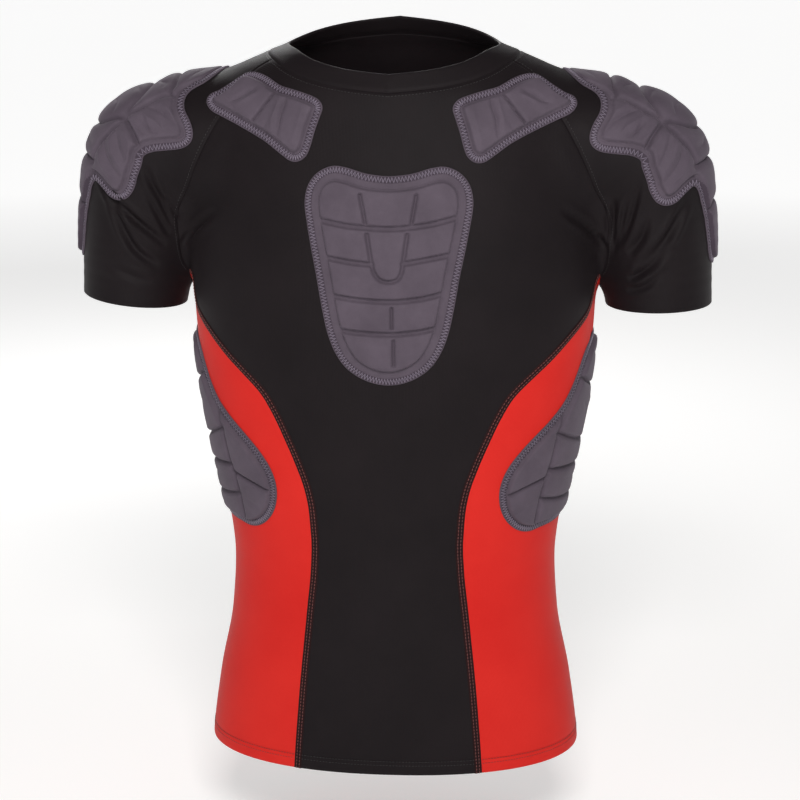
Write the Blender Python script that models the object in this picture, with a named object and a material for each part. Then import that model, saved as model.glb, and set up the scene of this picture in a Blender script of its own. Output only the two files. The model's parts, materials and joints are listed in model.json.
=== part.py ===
"""A padded compression shirt as it sits on its wearer: stretch-knit panels with quilted foam pads sewn on.

The cloth lies on the smooth form of a general figure. Tables give that form as sections, in millimetres.
Seams are curves on the form, panels are grids of points between seams, and every wall is moved out along
the form's own normal, so that neighbours meet at a seam with a small gap and pads follow the cloth.
The origin is between the two shoulders, level with the sides of the neckline. The front faces -Y, +Z is up.
"""

from functools import lru_cache

import bpy
import numpy as np

MM = 0.001

# Driving sizes, in millimetres
SHIRT_LENGTH = 690.0
CLOTH = 1.5
SEAM_GAP = 0.3
HEM_HEIGHT = -SHIRT_LENGTH

# The figure under the cloth, without head or hands: one row for each level section of the trunk
TRUNK_COLUMNS = ("height", "half_width", "front", "back", "squareness")
TRUNK = (
    (-740.0, 187.0, 108.0, 120.0, 2.20),
    (-690.0, 184.0, 108.0, 118.0, 2.20),
    (-620.0, 174.5, 107.0, 109.0, 2.20),
    (-550.0, 161.0, 107.0, 98.0, 2.20),
    (-495.0, 157.5, 108.0, 93.0, 2.20),
    (-440.0, 163.0, 111.0, 94.0, 2.25),
    (-380.0, 174.0, 115.0, 101.0, 2.30),
    (-320.0, 183.5, 120.0, 109.0, 2.35),
    (-260.0, 189.5, 125.0, 115.0, 2.35),
    (-210.0, 192.0, 125.0, 118.0, 2.30),
    (-160.0, 193.0, 119.0, 118.0, 2.20),
    (-110.0, 194.0, 109.0, 115.0, 2.10),
    (-70.0, 194.0, 99.0, 109.0, 2.00),
    (-40.0, 178.0, 89.0, 101.0, 1.95),
    (-22.0, 152.0, 79.0, 94.0, 1.95),
    (-8.0, 121.0, 71.0, 88.0, 2.00),
    (2.0, 97.0, 66.0, 82.0, 2.00),
    (24.0, 82.0, 59.0, 70.0, 2.00),
    (70.0, 74.0, 54.0, 62.0, 2.00),
)

# One row for each ball of the arm, from the top of the shoulder to past the cuff
ARM_COLUMNS = ("across", "depth", "height", "radius")
ARM = (
    (200.0, 4.0, -92.0, 54.0),
    (229.0, 5.0, -107.0, 59.0),
    (241.0, 5.0, -150.0, 56.0),
    (248.0, 4.0, -195.0, 52.5),
    (254.0, 3.0, -245.0, 48.5),
    (259.0, 2.0, -300.0, 46.5),
)
ARM_DEPTH_SCALE = 1.12

# Points this close to the trunk's upright axis, as a share of its width, count as on it
NEAR_AXIS = 1e-4

# How softly arm and trunk run together at each height: sharp in the armpit, soft over the shoulder
BLEND_COLUMNS = ("height", "reach")
BLEND = (
    (-260.0, 15.0),
    (-222.0, 19.0),
    (-185.0, 27.0),
    (-110.0, 46.0),
    (-40.0, 46.0),
    (20.0, 30.0),
)


def column(table, columns, name):
    """One named column of a table, as an array."""
    return np.array([row[columns.index(name)] for row in table], float)


def curve_through(knots, values, at):
    """A smooth curve through a table's values that never overshoots them (monotone cubic)."""
    knots, values, at = (np.asarray(v, float) for v in (knots, values, at))
    step = np.diff(knots)
    slope = np.diff(values) / step
    tangent = np.empty_like(values)
    before, after = slope[:-1], slope[1:]
    same_way = before * after > 0
    weight_a, weight_b = 2 * step[1:] + step[:-1], step[1:] + 2 * step[:-1]
    safe_before, safe_after = np.where(same_way, before, 1.0), np.where(same_way, after, 1.0)
    mean = (weight_a + weight_b) / (weight_a / safe_before + weight_b / safe_after)
    tangent[1:-1] = np.where(same_way, mean, 0.0)
    tangent[0], tangent[-1] = slope[0], slope[-1]
    at = np.clip(at, knots[0], knots[-1])
    cell = np.clip(np.searchsorted(knots, at, side="right") - 1, 0, len(step) - 1)
    t = (at - knots[cell]) / step[cell]
    rise = values[cell + 1] - values[cell]
    hermite = t * t * (3 - 2 * t)
    return (
        values[cell]
        + hermite * rise
        + step[cell] * (t * (1 - t) ** 2 * tangent[cell] - t * t * (1 - t) * tangent[cell + 1])
    )


def read(table, columns, name, at):
    """A table's column, read smoothly at any value of its first column."""
    return curve_through(column(table, columns, columns[0]), column(table, columns, name), at)


def trunk_reach(points):
    """How far each point lies outside the trunk's level section, measured straight out from the middle."""
    x, y, z = points[:, 0], points[:, 1], points[:, 2]
    half_width = read(TRUNK, TRUNK_COLUMNS, "half_width", z)
    front = read(TRUNK, TRUNK_COLUMNS, "front", z)
    back = read(TRUNK, TRUNK_COLUMNS, "back", z)
    power = read(TRUNK, TRUNK_COLUMNS, "squareness", z)
    depth = np.where(y < 0, front, back)
    share = ((np.abs(x) / half_width) ** power + (np.abs(y) / depth) ** power) ** (1 / power)
    return np.hypot(x, y) * (1 - 1 / np.maximum(share, NEAR_AXIS))


def slope_of(function, points, step):
    """The function's value and its slope along each axis."""
    slopes = []
    for axis in np.eye(3):
        change = function(points + step * axis) - function(points - step * axis)
        slopes.append(change / (2 * step))
    return function(points), np.stack(slopes, axis=1)


def trunk_distance(points):
    """Distance from the trunk's surface, negative inside."""
    reach, slope = slope_of(trunk_reach, points, 0.5)
    return reach / np.maximum(np.linalg.norm(slope, axis=1), 1.0)


def arm_line():
    """Centre points and radii along the wearer's left arm, close enough together to be smooth."""
    rows = np.array(ARM)
    station = np.arange(len(rows), dtype=float)
    at = np.linspace(0, len(rows) - 1, 4 * (len(rows) - 1) + 1)
    return np.stack([curve_through(station, rows[:, k], at) for k in range(4)], axis=1)


ARM_LINE = arm_line()


def arm_distance(points):
    """Distance from whichever arm is on the point's side, negative inside."""
    local = points * (1, 1 / ARM_DEPTH_SCALE, 1)
    local[:, 0] = np.abs(local[:, 0])
    centres = ARM_LINE[:, :3] * (1, 1 / ARM_DEPTH_SCALE, 1)
    best = np.full(len(points), np.inf)
    for start, end, r_start, r_end in zip(centres[:-1], centres[1:], ARM_LINE[:-1, 3], ARM_LINE[1:, 3]):
        run = end - start
        t = np.clip((local - start) @ run / (run @ run), 0, 1)
        gap = np.linalg.norm(local - start - t[:, None] * run, axis=1)
        best = np.minimum(best, gap - (r_start + t * (r_end - r_start)))
    return best


def form(points):
    """Distance from the figure, trunk and arms run together, negative inside. Points are in millimetres."""
    points = np.asarray(points, float)
    trunk, arm = trunk_distance(points), arm_distance(points)
    reach = read(BLEND, BLEND_COLUMNS, "reach", points[:, 2])
    overlap = np.maximum(reach - np.abs(trunk - arm), 0) / reach
    return np.minimum(trunk, arm) - overlap**2 * reach / 4


def outward(points):
    """The form's unit normal at each point."""
    points = np.asarray(points, float).reshape(-1, 3)
    _, slope = slope_of(form, points, 1.0)
    return slope / np.linalg.norm(slope, axis=1, keepdims=True)


def settle(points, lift=0.0, rounds=7):
    """Points moved along the form's slope until they lie on it, or at a lift above it."""
    points = np.array(points, float)
    for _ in range(rounds):
        value, slope = slope_of(form, points, 0.5)
        steepness = np.maximum((slope**2).sum(axis=1), 0.3)
        points -= ((value - lift) / steepness)[:, None] * slope
    return points


def along(points, shares):
    """Points at the given shares of the length of a line of points."""
    points = np.asarray(points, float)
    walked = np.concatenate([[0.0], np.cumsum(np.linalg.norm(np.diff(points, axis=0), axis=1))])
    at = np.asarray(shares, float) * walked[-1]
    return np.stack([curve_through(walked, points[:, k], at) for k in range(3)], axis=1)


def mirrored(points):
    """The same points on the other side of the wearer."""
    return np.asarray(points, float) * (-1, 1, 1)


# Neckline: how high the band's seam and its free edge lie, by the angle from the front centre
NECK_COLUMNS = ("angle", "seam_height", "edge_height")
NECK = (
    (0.0, -37.0, -22.0),
    (40.0, -29.0, -15.0),
    (66.0, -17.0, -4.0),
    (90.0, -7.0, 3.0),
    (125.0, 0.0, 14.0),
    (180.0, 6.0, 24.0),
)
NECK_SEAM_HALF_WIDTH, NECK_SEAM_FRONT, NECK_SEAM_BACK = 117.0, 90.0, 80.0
NECK_EDGE_HALF_WIDTH, NECK_EDGE_FRONT, NECK_EDGE_BACK = 98.0, 78.0, 72.0
RAGLAN_START, RAGLAN_END = 66.0, 114.0
RAGLAN_MIDDLE, RAGLAN_HALF = (RAGLAN_START + RAGLAN_END) / 2, (RAGLAN_END - RAGLAN_START) / 2

# Front raglan seam on the wearer's left, from the neck to the armpit. The back seam mirrors it.
RAGLAN_FRONT = (
    (107.0, -37.0, -15.0),
    (125.0, -43.0, -20.0),
    (142.0, -53.0, -41.0),
    (158.0, -61.0, -65.0),
    (186.0, -60.0, -121.0),
    (202.0, -43.0, -166.0),
    (201.0, -30.0, -198.0),
)
BACK_DEPTH_SHARE = 1.1

# The seam under the arm: how far out it lies, how far it reaches to the front and back, and its middle
ARMPIT_COLUMNS = ("depth", "across")
ARMPIT = ((-17.0, 196.3), (-8.0, 196.2), (2.0, 196.0), (12.0, 195.8), (21.0, 195.0))
ARMPIT_INSIDE_HEIGHT = -150.0

# Front edge of the red side panel: angle from the front centre at each height. The back edge mirrors it.
SIDE_SEAM_COLUMNS = ("height", "angle")
SIDE_SEAM = (
    (-690.0, 43.0),
    (-640.0, 42.0),
    (-590.0, 40.6),
    (-530.0, 38.2),
    (-483.0, 35.7),
    (-452.0, 34.6),
    (-425.0, 34.8),
    (-404.0, 35.9),
    (-380.0, 38.6),
    (-356.0, 41.8),
    (-333.0, 45.0),
    (-312.0, 49.0),
    (-298.0, 53.6),
    (-281.0, 60.2),
    (-262.0, 68.0),
    (-245.0, 77.0),
)
SIDE_ROWS = 18
RAGLAN_ROWS = 11
FRONT_COLUMNS, BACK_COLUMNS, SIDE_COLUMNS = 16, 14, 10
SLEEVE_COLUMNS_OVER, SLEEVE_ROWS_BELOW = 18, 3
SEAM_SAMPLES = 60
NECKBAND_ROWS = 2


def neck_line(angles, share):
    """Points round the neck, at angles from the front centre. Share 0 is the band's seam, 1 its free edge."""
    angles = np.asarray(angles, float)
    turn = np.radians(angles)
    half_width = NECK_SEAM_HALF_WIDTH + share * (NECK_EDGE_HALF_WIDTH - NECK_SEAM_HALF_WIDTH)
    front = NECK_SEAM_FRONT + share * (NECK_EDGE_FRONT - NECK_SEAM_FRONT)
    back = NECK_SEAM_BACK + share * (NECK_EDGE_BACK - NECK_SEAM_BACK)
    folded = np.abs((angles + 180) % 360 - 180)
    seam_height = read(NECK, NECK_COLUMNS, "seam_height", folded)
    edge_height = read(NECK, NECK_COLUMNS, "edge_height", folded)
    depth = np.where(np.cos(turn) > 0, front, back)
    height = seam_height + share * (edge_height - seam_height)
    return settle(np.stack([half_width * np.sin(turn), -depth * np.cos(turn), height], axis=1))


def trunk_points(angles, heights):
    """Points of the trunk's own surface, at angles from the front centre towards the wearer's left."""
    angles, heights = np.broadcast_arrays(np.radians(angles), np.asarray(heights, float))
    direction = np.stack([np.sin(angles), -np.cos(angles)], axis=-1)
    half_width = read(TRUNK, TRUNK_COLUMNS, "half_width", heights)
    front = read(TRUNK, TRUNK_COLUMNS, "front", heights)
    back = read(TRUNK, TRUNK_COLUMNS, "back", heights)
    power = read(TRUNK, TRUNK_COLUMNS, "squareness", heights)
    depth = np.where(direction[..., 1] < 0, front, back)
    share = (np.abs(direction[..., 0]) / half_width) ** power + (np.abs(direction[..., 1]) / depth) ** power
    reach = share ** (-1 / power)
    return np.stack([direction[..., 0] * reach, direction[..., 1] * reach, heights], axis=-1)


def armpit_points(depth):
    """Points in the trough under the arm, seen straight from below."""
    across = read(ARMPIT, ARMPIT_COLUMNS, "across", depth)
    start = np.stack([across, depth, np.full_like(depth, ARMPIT_INSIDE_HEIGHT)], axis=1)
    return first_exit(start, np.broadcast_to([0.0, 0.0, -1.0], start.shape))


@lru_cache
def raglan_line(back=False):
    """The seam between trunk and sleeve on the wearer's left, from the armpit up to the neck."""
    start = neck_line([RAGLAN_END if back else RAGLAN_START], 0.0)[0]
    line = np.array(RAGLAN_FRONT[1:], float)
    if back:
        line[:, 1] *= -BACK_DEPTH_SHARE
    armpit = armpit_points(np.array([ARMPIT[-1 if back else 0][0]]))[0]
    line = np.vstack([start, settle(line), armpit])
    points = settle(along(line[::-1], np.linspace(0, 1, RAGLAN_ROWS + 1)))
    points[0], points[-1] = armpit, start
    return points


@lru_cache
def side_seam_line(back=False):
    """The seam between black and red cloth on the wearer's left, from the hem up to the armpit."""
    armpit = raglan_line(back)[0]
    heights = np.linspace(HEM_HEIGHT, SIDE_SEAM[-1][0], SEAM_SAMPLES)
    angles = read(SIDE_SEAM, SIDE_SEAM_COLUMNS, "angle", heights)
    if back:
        angles = 180 - angles
    line = np.vstack([trunk_points(angles, heights), armpit])
    points = settle(along(line, np.linspace(0, 1, SIDE_ROWS + 1)))
    points[0] = line[0]
    points[-1] = armpit
    return points


@lru_cache
def armpit_line():
    """The short seam under the arm, between side panel and sleeve, from front to back."""
    points = armpit_points(np.linspace(ARMPIT[0][0], ARMPIT[-1][0], SIDE_COLUMNS + 1))
    points[0], points[-1] = raglan_line()[0], raglan_line(back=True)[0]
    return points


def trunk_grid(edge, top, columns, back=False):
    """Rows of points across the front or back, from its edge on the wearer's left to its mirror image."""
    share = np.linspace(1, -1, columns + 1)
    walked = np.concatenate([[0.0], np.cumsum(np.linalg.norm(np.diff(edge, axis=0), axis=1))])
    rise = (walked / walked[-1]) ** 3
    away = -1.0 if back else 1.0
    edge_angle = np.degrees(np.arctan2(edge[:, 0], -away * edge[:, 1]))
    rows = []
    for k, point in enumerate(edge):
        heights = point[2] + rise[k] * (top[:, 2] - edge[-1, 2])
        angles = edge_angle[k] * share
        guess = trunk_points(180 - angles if back else angles, heights)
        miss = point - guess[0]
        pull = np.abs(share) ** 4
        guess += pull[:, None] * np.where((share < 0)[:, None], miss * (-1, 1, 1), miss)
        row = settle(guess)
        row[0], row[-1] = point, mirrored(point)
        if k == 0:
            row = guess
        rows.append(row)
    rows[-1] = top
    return np.array(rows)


def side_grid():
    """Rows of points across the side panel on the wearer's left, from the front seam to the back seam."""
    front, back, top = side_seam_line(), side_seam_line(back=True), armpit_line()
    share = np.linspace(0, 1, SIDE_COLUMNS + 1)
    rows = []
    for k, (start, end) in enumerate(zip(front, back)):
        angle_start = np.degrees(np.arctan2(start[0], -start[1]))
        angle_end = np.degrees(np.arctan2(end[0], -end[1]))
        heights = start[2] + share * (end[2] - start[2])
        guess = trunk_points(angle_start + share * (angle_end - angle_start), heights)
        guess += (1 - share)[:, None] * (start - guess[0]) + share[:, None] * (end - guess[-1])
        near_top = max(0.0, 1 - (SIDE_ROWS - k) / 4.0)
        dip = top[:, 2] - (top[0, 2] + share * (top[-1, 2] - top[0, 2]))
        guess[:, 2] += near_top * dip
        row = settle(guess) if k else guess
        row[0], row[-1] = start, end
        rows.append(row)
    rows[-1] = top
    return np.array(rows)


# Rows of the sleeve, neck to armpit: where each row crosses the top of the shoulder, and the point inside
# the arm from which it fans out to the two raglan seams
FAN_COLUMNS = ("share", "top_across", "top_height", "inside_across", "inside_height")
FAN = (
    (0.0, 117.0, -6.0, 92.0, -80.0),
    (0.17, 152.0, -22.0, 122.0, -95.0),
    (0.34, 200.0, -38.0, 160.0, -112.0),
    (0.50, 250.0, -52.0, 198.0, -125.0),
    (0.67, 284.0, -88.0, 222.0, -150.0),
    (0.84, 298.0, -140.0, 237.0, -180.0),
    (1.0, 301.0, -192.0, 248.0, -204.0),
    (1.16, 302.0, -222.0, 251.0, -232.0),
)
ARM_MIDDLE_DEPTH = 3.0
CUFF_CENTRE = (254.0, 3.0, -242.0)
CUFF_SLANT = {"left": 2.0, "right": 7.0}
CUFF_SHARE_OVER = 0.86


def fan_frame(share):
    """The points inside the arm, and the directions that rows of the sleeve are measured in."""
    share = np.atleast_1d(np.asarray(share, float))
    depth = np.zeros_like(share)
    top_across, top_height, inside_across, inside_height = (
        read(FAN, FAN_COLUMNS, key, share) for key in FAN_COLUMNS[1:]
    )
    inside = np.stack([inside_across, depth, inside_height], axis=1)
    top = np.stack([top_across, depth, top_height], axis=1)
    up = (top - inside) / np.linalg.norm(top - inside, axis=1, keepdims=True)
    front = np.broadcast_to([0.0, -1.0, 0.0], up.shape)
    return inside + (0, ARM_MIDDLE_DEPTH, 0), up, front, np.cross(up, front)


def fan_angles(point, share):
    """A point's turn from the top of the row towards the front, and its tilt out of the row's plane."""
    inside, up, front, side = (part[0] for part in fan_frame(share))
    direction = point - inside
    direction /= np.linalg.norm(direction)
    return np.arctan2(direction @ front, direction @ up), np.arcsin(np.clip(direction @ side, -1, 1))


def first_exit(start, directions, reach=190.0, steps=48):
    """Where rays from points inside the form first leave it."""
    start = np.broadcast_to(start, directions.shape)
    lengths = np.linspace(2.0, reach, steps)
    points = start[:, None, :] + directions[:, None, :] * lengths[None, :, None]
    value = form(points.reshape(-1, 3)).reshape(len(directions), steps)
    hit = np.argmax(value > 0, axis=1)
    low, high = lengths[np.maximum(hit - 1, 0)], lengths[hit]
    for _ in range(12):
        middle = (low + high) / 2
        inside = form(start + directions * middle[:, None]) < 0
        low, high = np.where(inside, middle, low), np.where(inside, high, middle)
    return start + directions * high[:, None]


def fan_exit(share, turn, tilt):
    """Points of the form seen from inside the arm: turned from the top towards the front, and tilted."""
    share, turn, tilt = (np.array(v, float) for v in np.broadcast_arrays(share, turn, tilt))
    inside, up, front, side = fan_frame(share)
    directions = (
        np.cos(tilt)[:, None] * (np.cos(turn)[:, None] * up + np.sin(turn)[:, None] * front)
        + np.sin(tilt)[:, None] * side
    )
    return first_exit(inside, directions)


def fan_points(share, across, front_seam, back_seam):
    """Points of one sleeve row: across is -1 on the front seam, 0 on top and +1 on the back seam."""
    across = np.asarray(across, float)
    turn_front, tilt_front = fan_angles(front_seam, share)
    turn_back, tilt_back = fan_angles(back_seam, share)
    turn = np.where(across < 0, -across * turn_front, across * turn_back)
    tilt = across**2 * np.where(across < 0, tilt_front, tilt_back)
    return fan_exit(share, turn, tilt)


def cuff_ring(columns_over, columns_under, slant):
    """The open end of the sleeve: the same turns as the rings above, in the slanted plane of the cuff."""
    centre = np.array(CUFF_CENTRE)
    tilt = np.radians(slant)
    up = np.array([np.cos(tilt), 0.0, np.sin(tilt)])
    front = np.array([0.0, -1.0, 0.0])
    half_over = CUFF_SHARE_OVER * np.pi
    over = np.linspace(half_over, -half_over, columns_over + 1)
    under = np.linspace(-half_over, half_over - 2 * np.pi, columns_under + 1)[1:-1]
    turn = np.concatenate([over, under])
    directions = np.cos(turn)[:, None] * up + np.sin(turn)[:, None] * front
    return first_exit(centre, directions)


def sleeve_rows(slant):
    """Open rows from the neck to the armpit, then closed rings down to the cuff, on the wearer's left."""
    across = np.linspace(-1, 1, SLEEVE_COLUMNS_OVER + 1)
    front, back = raglan_line()[::-1], raglan_line(back=True)[::-1]
    rows = [neck_line(RAGLAN_MIDDLE + RAGLAN_HALF * across, 0.0)]
    for k in range(1, RAGLAN_ROWS + 1):
        row = fan_points(k / RAGLAN_ROWS, across, front[k], back[k])
        row[0], row[-1] = front[k], back[k]
        rows.append(row)
    under = armpit_line()[::-1][1:-1]
    start = np.vstack([rows[-1], under])
    end = cuff_ring(SLEEVE_COLUMNS_OVER, SIDE_COLUMNS, slant)
    rings = []
    for k in range(1, SLEEVE_ROWS_BELOW + 1):
        share = k / SLEEVE_ROWS_BELOW
        ring = start + share * (end - start)
        rings.append(settle(ring) if share < 1 else end)
    return rows, under, rings


# Solids: every piece is a closed mesh of triangles, its points given in millimetres
SHARP_ANGLE = 40.0


def material(name, colour, roughness):
    """A matt cloth material."""
    made = bpy.data.materials.new(name)
    made.use_nodes = True
    shader = made.node_tree.nodes["Principled BSDF"]
    shader.inputs["Base Color"].default_value = (*colour, 1.0)
    shader.inputs["Roughness"].default_value = roughness
    shader.inputs["Metallic"].default_value = 0.0
    return made


def solid(name, points, faces, colour, roughness):
    """A named object from points in millimetres and its faces."""
    mesh = bpy.data.meshes.new(name)
    corners = [tuple(point) for point in np.asarray(points) * MM]
    mesh.from_pydata(corners, [], [tuple(int(i) for i in face) for face in faces])
    mesh.materials.append(material(name + "_cloth", colour, roughness))
    mesh.shade_smooth()
    mesh.set_sharp_from_angle(angle=np.radians(SHARP_ANGLE))
    made = bpy.data.objects.new(name, mesh)
    bpy.context.scene.collection.objects.link(made)
    return made


def grid_faces(rows, columns, first=0, closed=False):
    """Triangles of a grid of points numbered row by row. Closed: the last column joins the first."""
    faces = []
    for r in range(rows - 1):
        for c in range(columns if closed else columns - 1):
            a, b = first + r * columns + c, first + r * columns + (c + 1) % columns
            faces += [(a, b, b + columns), (a, b + columns, a + columns)]
    return faces


def face_outward(points, faces, normals):
    """The same triangles, all turned so that they face out of the form."""
    corner = points[np.array(faces)]
    facing = np.cross(corner[:, 1] - corner[:, 0], corner[:, 2] - corner[:, 0])
    agree = (facing * normals[np.array(faces)[:, 0]]).sum()
    return faces if agree > 0 else [face[::-1] for face in faces]


def border(faces):
    """Edges that only one triangle uses, in that triangle's own direction."""
    used = {}
    for face in faces:
        for a, b in zip(face, face[1:] + face[:1]):
            used[(a, b)] = face
    return [edge for edge in used if edge[::-1] not in used]


def seam_shift(points, faces, normals, free, gap):
    """A move of each point on a seam, square to the seam and into its own piece."""
    pulls = {}
    for a, b in border(faces):
        run = points[b] - points[a]
        for end in (a, b):
            inward = np.cross(normals[end], run)
            wanted = 0.0 if a in free and b in free else gap / 2
            pulls.setdefault(end, []).append((inward / np.linalg.norm(inward), wanted))
    shift = np.zeros_like(points)
    for end, rows in pulls.items():
        directions = np.array([row[0] for row in rows])
        shift[end] = np.linalg.lstsq(directions, np.array([row[1] for row in rows]), rcond=0.05)[0]
    return shift


def closed_wall(inner, outer, faces, places=None):
    """The points and triangles of a closed wall between two copies of a surface.

    The same places on both sides of a seam give both edges the same diagonals, so that twisted edges match.
    """
    count = len(inner)
    places = inner if places is None else places
    order = [(round(abs(p[0]), 2), round(p[1], 2), round(p[2], 2)) for p in places]
    shell = list(faces) + [tuple(i + count for i in face[::-1]) for face in faces]
    for a, b in border(faces):
        if order[a] < order[b]:
            shell += [(b, a, a + count), (b, a + count, b + count)]
        else:
            shell += [(b, a, b + count), (a, a + count, b + count)]
    return np.vstack([outer, inner]), shell


# Every cloth panel's surface is kept, so that the pads can be cut to the whole of the cloth
PANELS = []


def panel(name, points, faces, free, colour, roughness):
    """A cloth panel: a thin wall on the form, drawn back from its seams."""
    points = np.asarray(points, float)
    normals = outward(points)
    faces = face_outward(points, faces, normals)
    PANELS.append((points, normals, faces))
    inner = points + seam_shift(points, faces, normals, free, SEAM_GAP)
    wall = closed_wall(inner, inner + CLOTH * normals, faces, points)
    return solid(name, *wall, colour, roughness)


def whole_cloth(lift, depth):
    """All panels joined to one closed slab, from a depth inside the form to a lift above it."""
    found, points, normals, faces = {}, [], [], []
    for panel_points, panel_normals, panel_faces in PANELS:
        number = []
        for point, normal in zip(panel_points, panel_normals):
            key = tuple(np.round(point, 2))
            if key not in found:
                found[key] = len(points)
                points.append(point)
                normals.append(normal)
            number.append(found[key])
        faces += [tuple(number[i] for i in face) for face in panel_faces]
    points, normals = np.array(points), np.array(normals)
    return closed_wall(points - depth * normals, points + lift * normals, faces)


BLACK_CLOTH, RED_CLOTH, PAD_COVER = (0.010, 0.009, 0.010), (0.70, 0.030, 0.022), (0.105, 0.085, 0.110)
CLOTH_ROUGHNESS, PAD_ROUGHNESS = 0.75, 0.65


def trunk_panel(name, back, columns):
    """The black front or back, from hem to neckband."""
    edge = np.vstack([side_seam_line(back), raglan_line(back)[1:]])
    angles = np.linspace(RAGLAN_END, 360 - RAGLAN_END, columns + 1)
    if not back:
        angles = np.linspace(RAGLAN_START, -RAGLAN_START, columns + 1)
    grid = trunk_grid(edge, neck_line(angles, 0.0), columns, back)
    free = set(range(columns + 1))
    faces = grid_faces(len(grid), columns + 1)
    return panel(name, grid.reshape(-1, 3), faces, free, BLACK_CLOTH, CLOTH_ROUGHNESS)


def side_panel(name, side):
    """A red side panel, from hem to armpit."""
    grid = side_grid()
    points = grid.reshape(-1, 3) * (side, 1, 1)
    free = set(range(SIDE_COLUMNS + 1))
    return panel(name, points, grid_faces(len(grid), SIDE_COLUMNS + 1), free, RED_CLOTH, CLOTH_ROUGHNESS)


def sleeve(name, side, slant):
    """A black raglan sleeve, from the neckband over the shoulder to the cuff."""
    rows, under, rings = sleeve_rows(slant)
    width = SLEEVE_COLUMNS_OVER + 1
    ring_width = width + len(under)
    points = np.vstack(rows + [under] + rings) * (side, 1, 1)
    first = (len(rows) - 1) * width
    faces = grid_faces(len(rows), width) + grid_faces(1 + len(rings), ring_width, first, closed=True)
    free = set(range(len(points) - ring_width, len(points)))
    return panel(name, points, faces, free, BLACK_CLOTH, CLOTH_ROUGHNESS)


def neckband(name):
    """The band round the neck, from its seam with the panels to its free edge."""
    front = np.linspace(-RAGLAN_START, RAGLAN_START, FRONT_COLUMNS + 1)
    left = np.linspace(RAGLAN_START, RAGLAN_END, SLEEVE_COLUMNS_OVER + 1)
    back = np.linspace(RAGLAN_END, 360 - RAGLAN_END, BACK_COLUMNS + 1)
    angles = np.concatenate([front, left[1:], back[1:], (360 - left[::-1])[1:-1]])
    rows = [neck_line(angles, k / NECKBAND_ROWS) for k in range(NECKBAND_ROWS + 1)]
    points = np.vstack(rows)
    free = set(range(len(points) - len(angles), len(points)))
    faces = grid_faces(len(rows), len(angles), closed=True)
    return panel(name, points, faces, free, BLACK_CLOTH, CLOTH_ROUGHNESS)


# Pads: foam blocks under a cover, with a flat flange that is sewn to the cloth
PAD_GAP = 0.3
PAD_FOOT = CLOTH + PAD_GAP
FLANGE_THICKNESS = 2.4
PAD_ROOT = -2.5

# A block reaches this share of its height at this share of the way from one of its lines to the next
BLOCK_SIDE_RISE = 0.86
BLOCK_SIDE_AT = 0.16
SAME = 1e-6


def stations(lines):
    """Rows of a pad's grid between its named lines: beside both lines of each block, and down its middle."""
    made = [0.0]
    for k in range(1, lines - 2):
        made += [k, k + BLOCK_SIDE_AT, k + 0.5, k + 1 - BLOCK_SIDE_AT]
    return np.array(made + [lines - 2, lines - 1], float)


def block_height(at, lines, grooves):
    """A block's height share in one direction: low on its lines, nearly full beside them, full inside."""
    height = np.ones_like(at)
    for k in range(lines):
        low = 0.0 if k <= 1 or k >= lines - 2 else grooves
        near = np.abs(at - k)
        height = np.where(near < BLOCK_SIDE_AT + SAME, np.minimum(height, BLOCK_SIDE_RISE), height)
        height = np.where(near < SAME, low, height)
    on_flange = (at < 1 - SAME) | (at > lines - 2 + SAME)
    return np.where(on_flange, 0.0, height)


def pad(name, points, heights, side, cloth):
    """A pad on a grid of points of the form. Its foot is cut to the cloth."""
    rows, columns = heights.shape
    points = np.asarray(points, float).reshape(-1, 3)
    normals = outward(points)
    points, normals = points * (side, 1, 1), normals * (side, 1, 1)
    faces = face_outward(points, grid_faces(rows, columns), normals)
    lift = PAD_FOOT + FLANGE_THICKNESS + heights.reshape(-1, 1)
    top, root = points + lift * normals, points + PAD_ROOT * normals
    made = solid(name, *closed_wall(root, top, faces), PAD_COVER, PAD_ROUGHNESS)
    cut = made.modifiers.new("foot_to_cloth", "BOOLEAN")
    cut.operation = "DIFFERENCE"
    cut.solver = "EXACT"
    cut.object = cloth
    return made


# Sternum pad, seen from the front: half width, and height of each cross line at its ends and middle
STERNUM_COLUMNS = ("line", "half_width", "end_height", "middle_height")
STERNUM = (
    (0.0, 55.0, -101.5, -109.0),
    (1.0, 74.0, -120.0, -122.0),
    (2.0, 73.0, -146.0, -154.0),
    (3.0, 67.0, -178.0, -187.0),
    (4.0, 61.0, -210.0, -218.0),
    (5.0, 55.0, -242.0, -248.0),
    (6.0, 47.0, -266.0, -282.0),
    (7.0, 30.0, -284.0, -297.0),
)
STERNUM_CENTRE = 2.5
STERNUM_FLANGE = 14.0
STERNUM_BLOCK = 7.5
STERNUM_SIDE_GROOVE, STERNUM_GROOVE_SIDE, STERNUM_BLOCK_EDGE = 0.36, 0.08, 0.86
STERNUM_HALF_ACROSS = (0.0, 0.08, 0.28, 0.36, 0.44, 0.62, STERNUM_BLOCK_EDGE, 1.0)
STERNUM_ROW_GROOVE, STERNUM_SHORT_GROOVE = 0.25, 0.3
STERNUM_LAST_SIDE_GROOVE, STERNUM_FIRST_MIDDLE_GROOVE = 3, 4


def on_front(across, heights):
    """Points of the form straight behind places on the front view."""
    points = np.stack([across, np.full_like(across, -115.0), heights], axis=1)
    for _ in range(12):
        value, slope = slope_of(form, points, 0.5)
        points[:, 1] -= value / np.minimum(slope[:, 1], -0.3)
    return points


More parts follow.
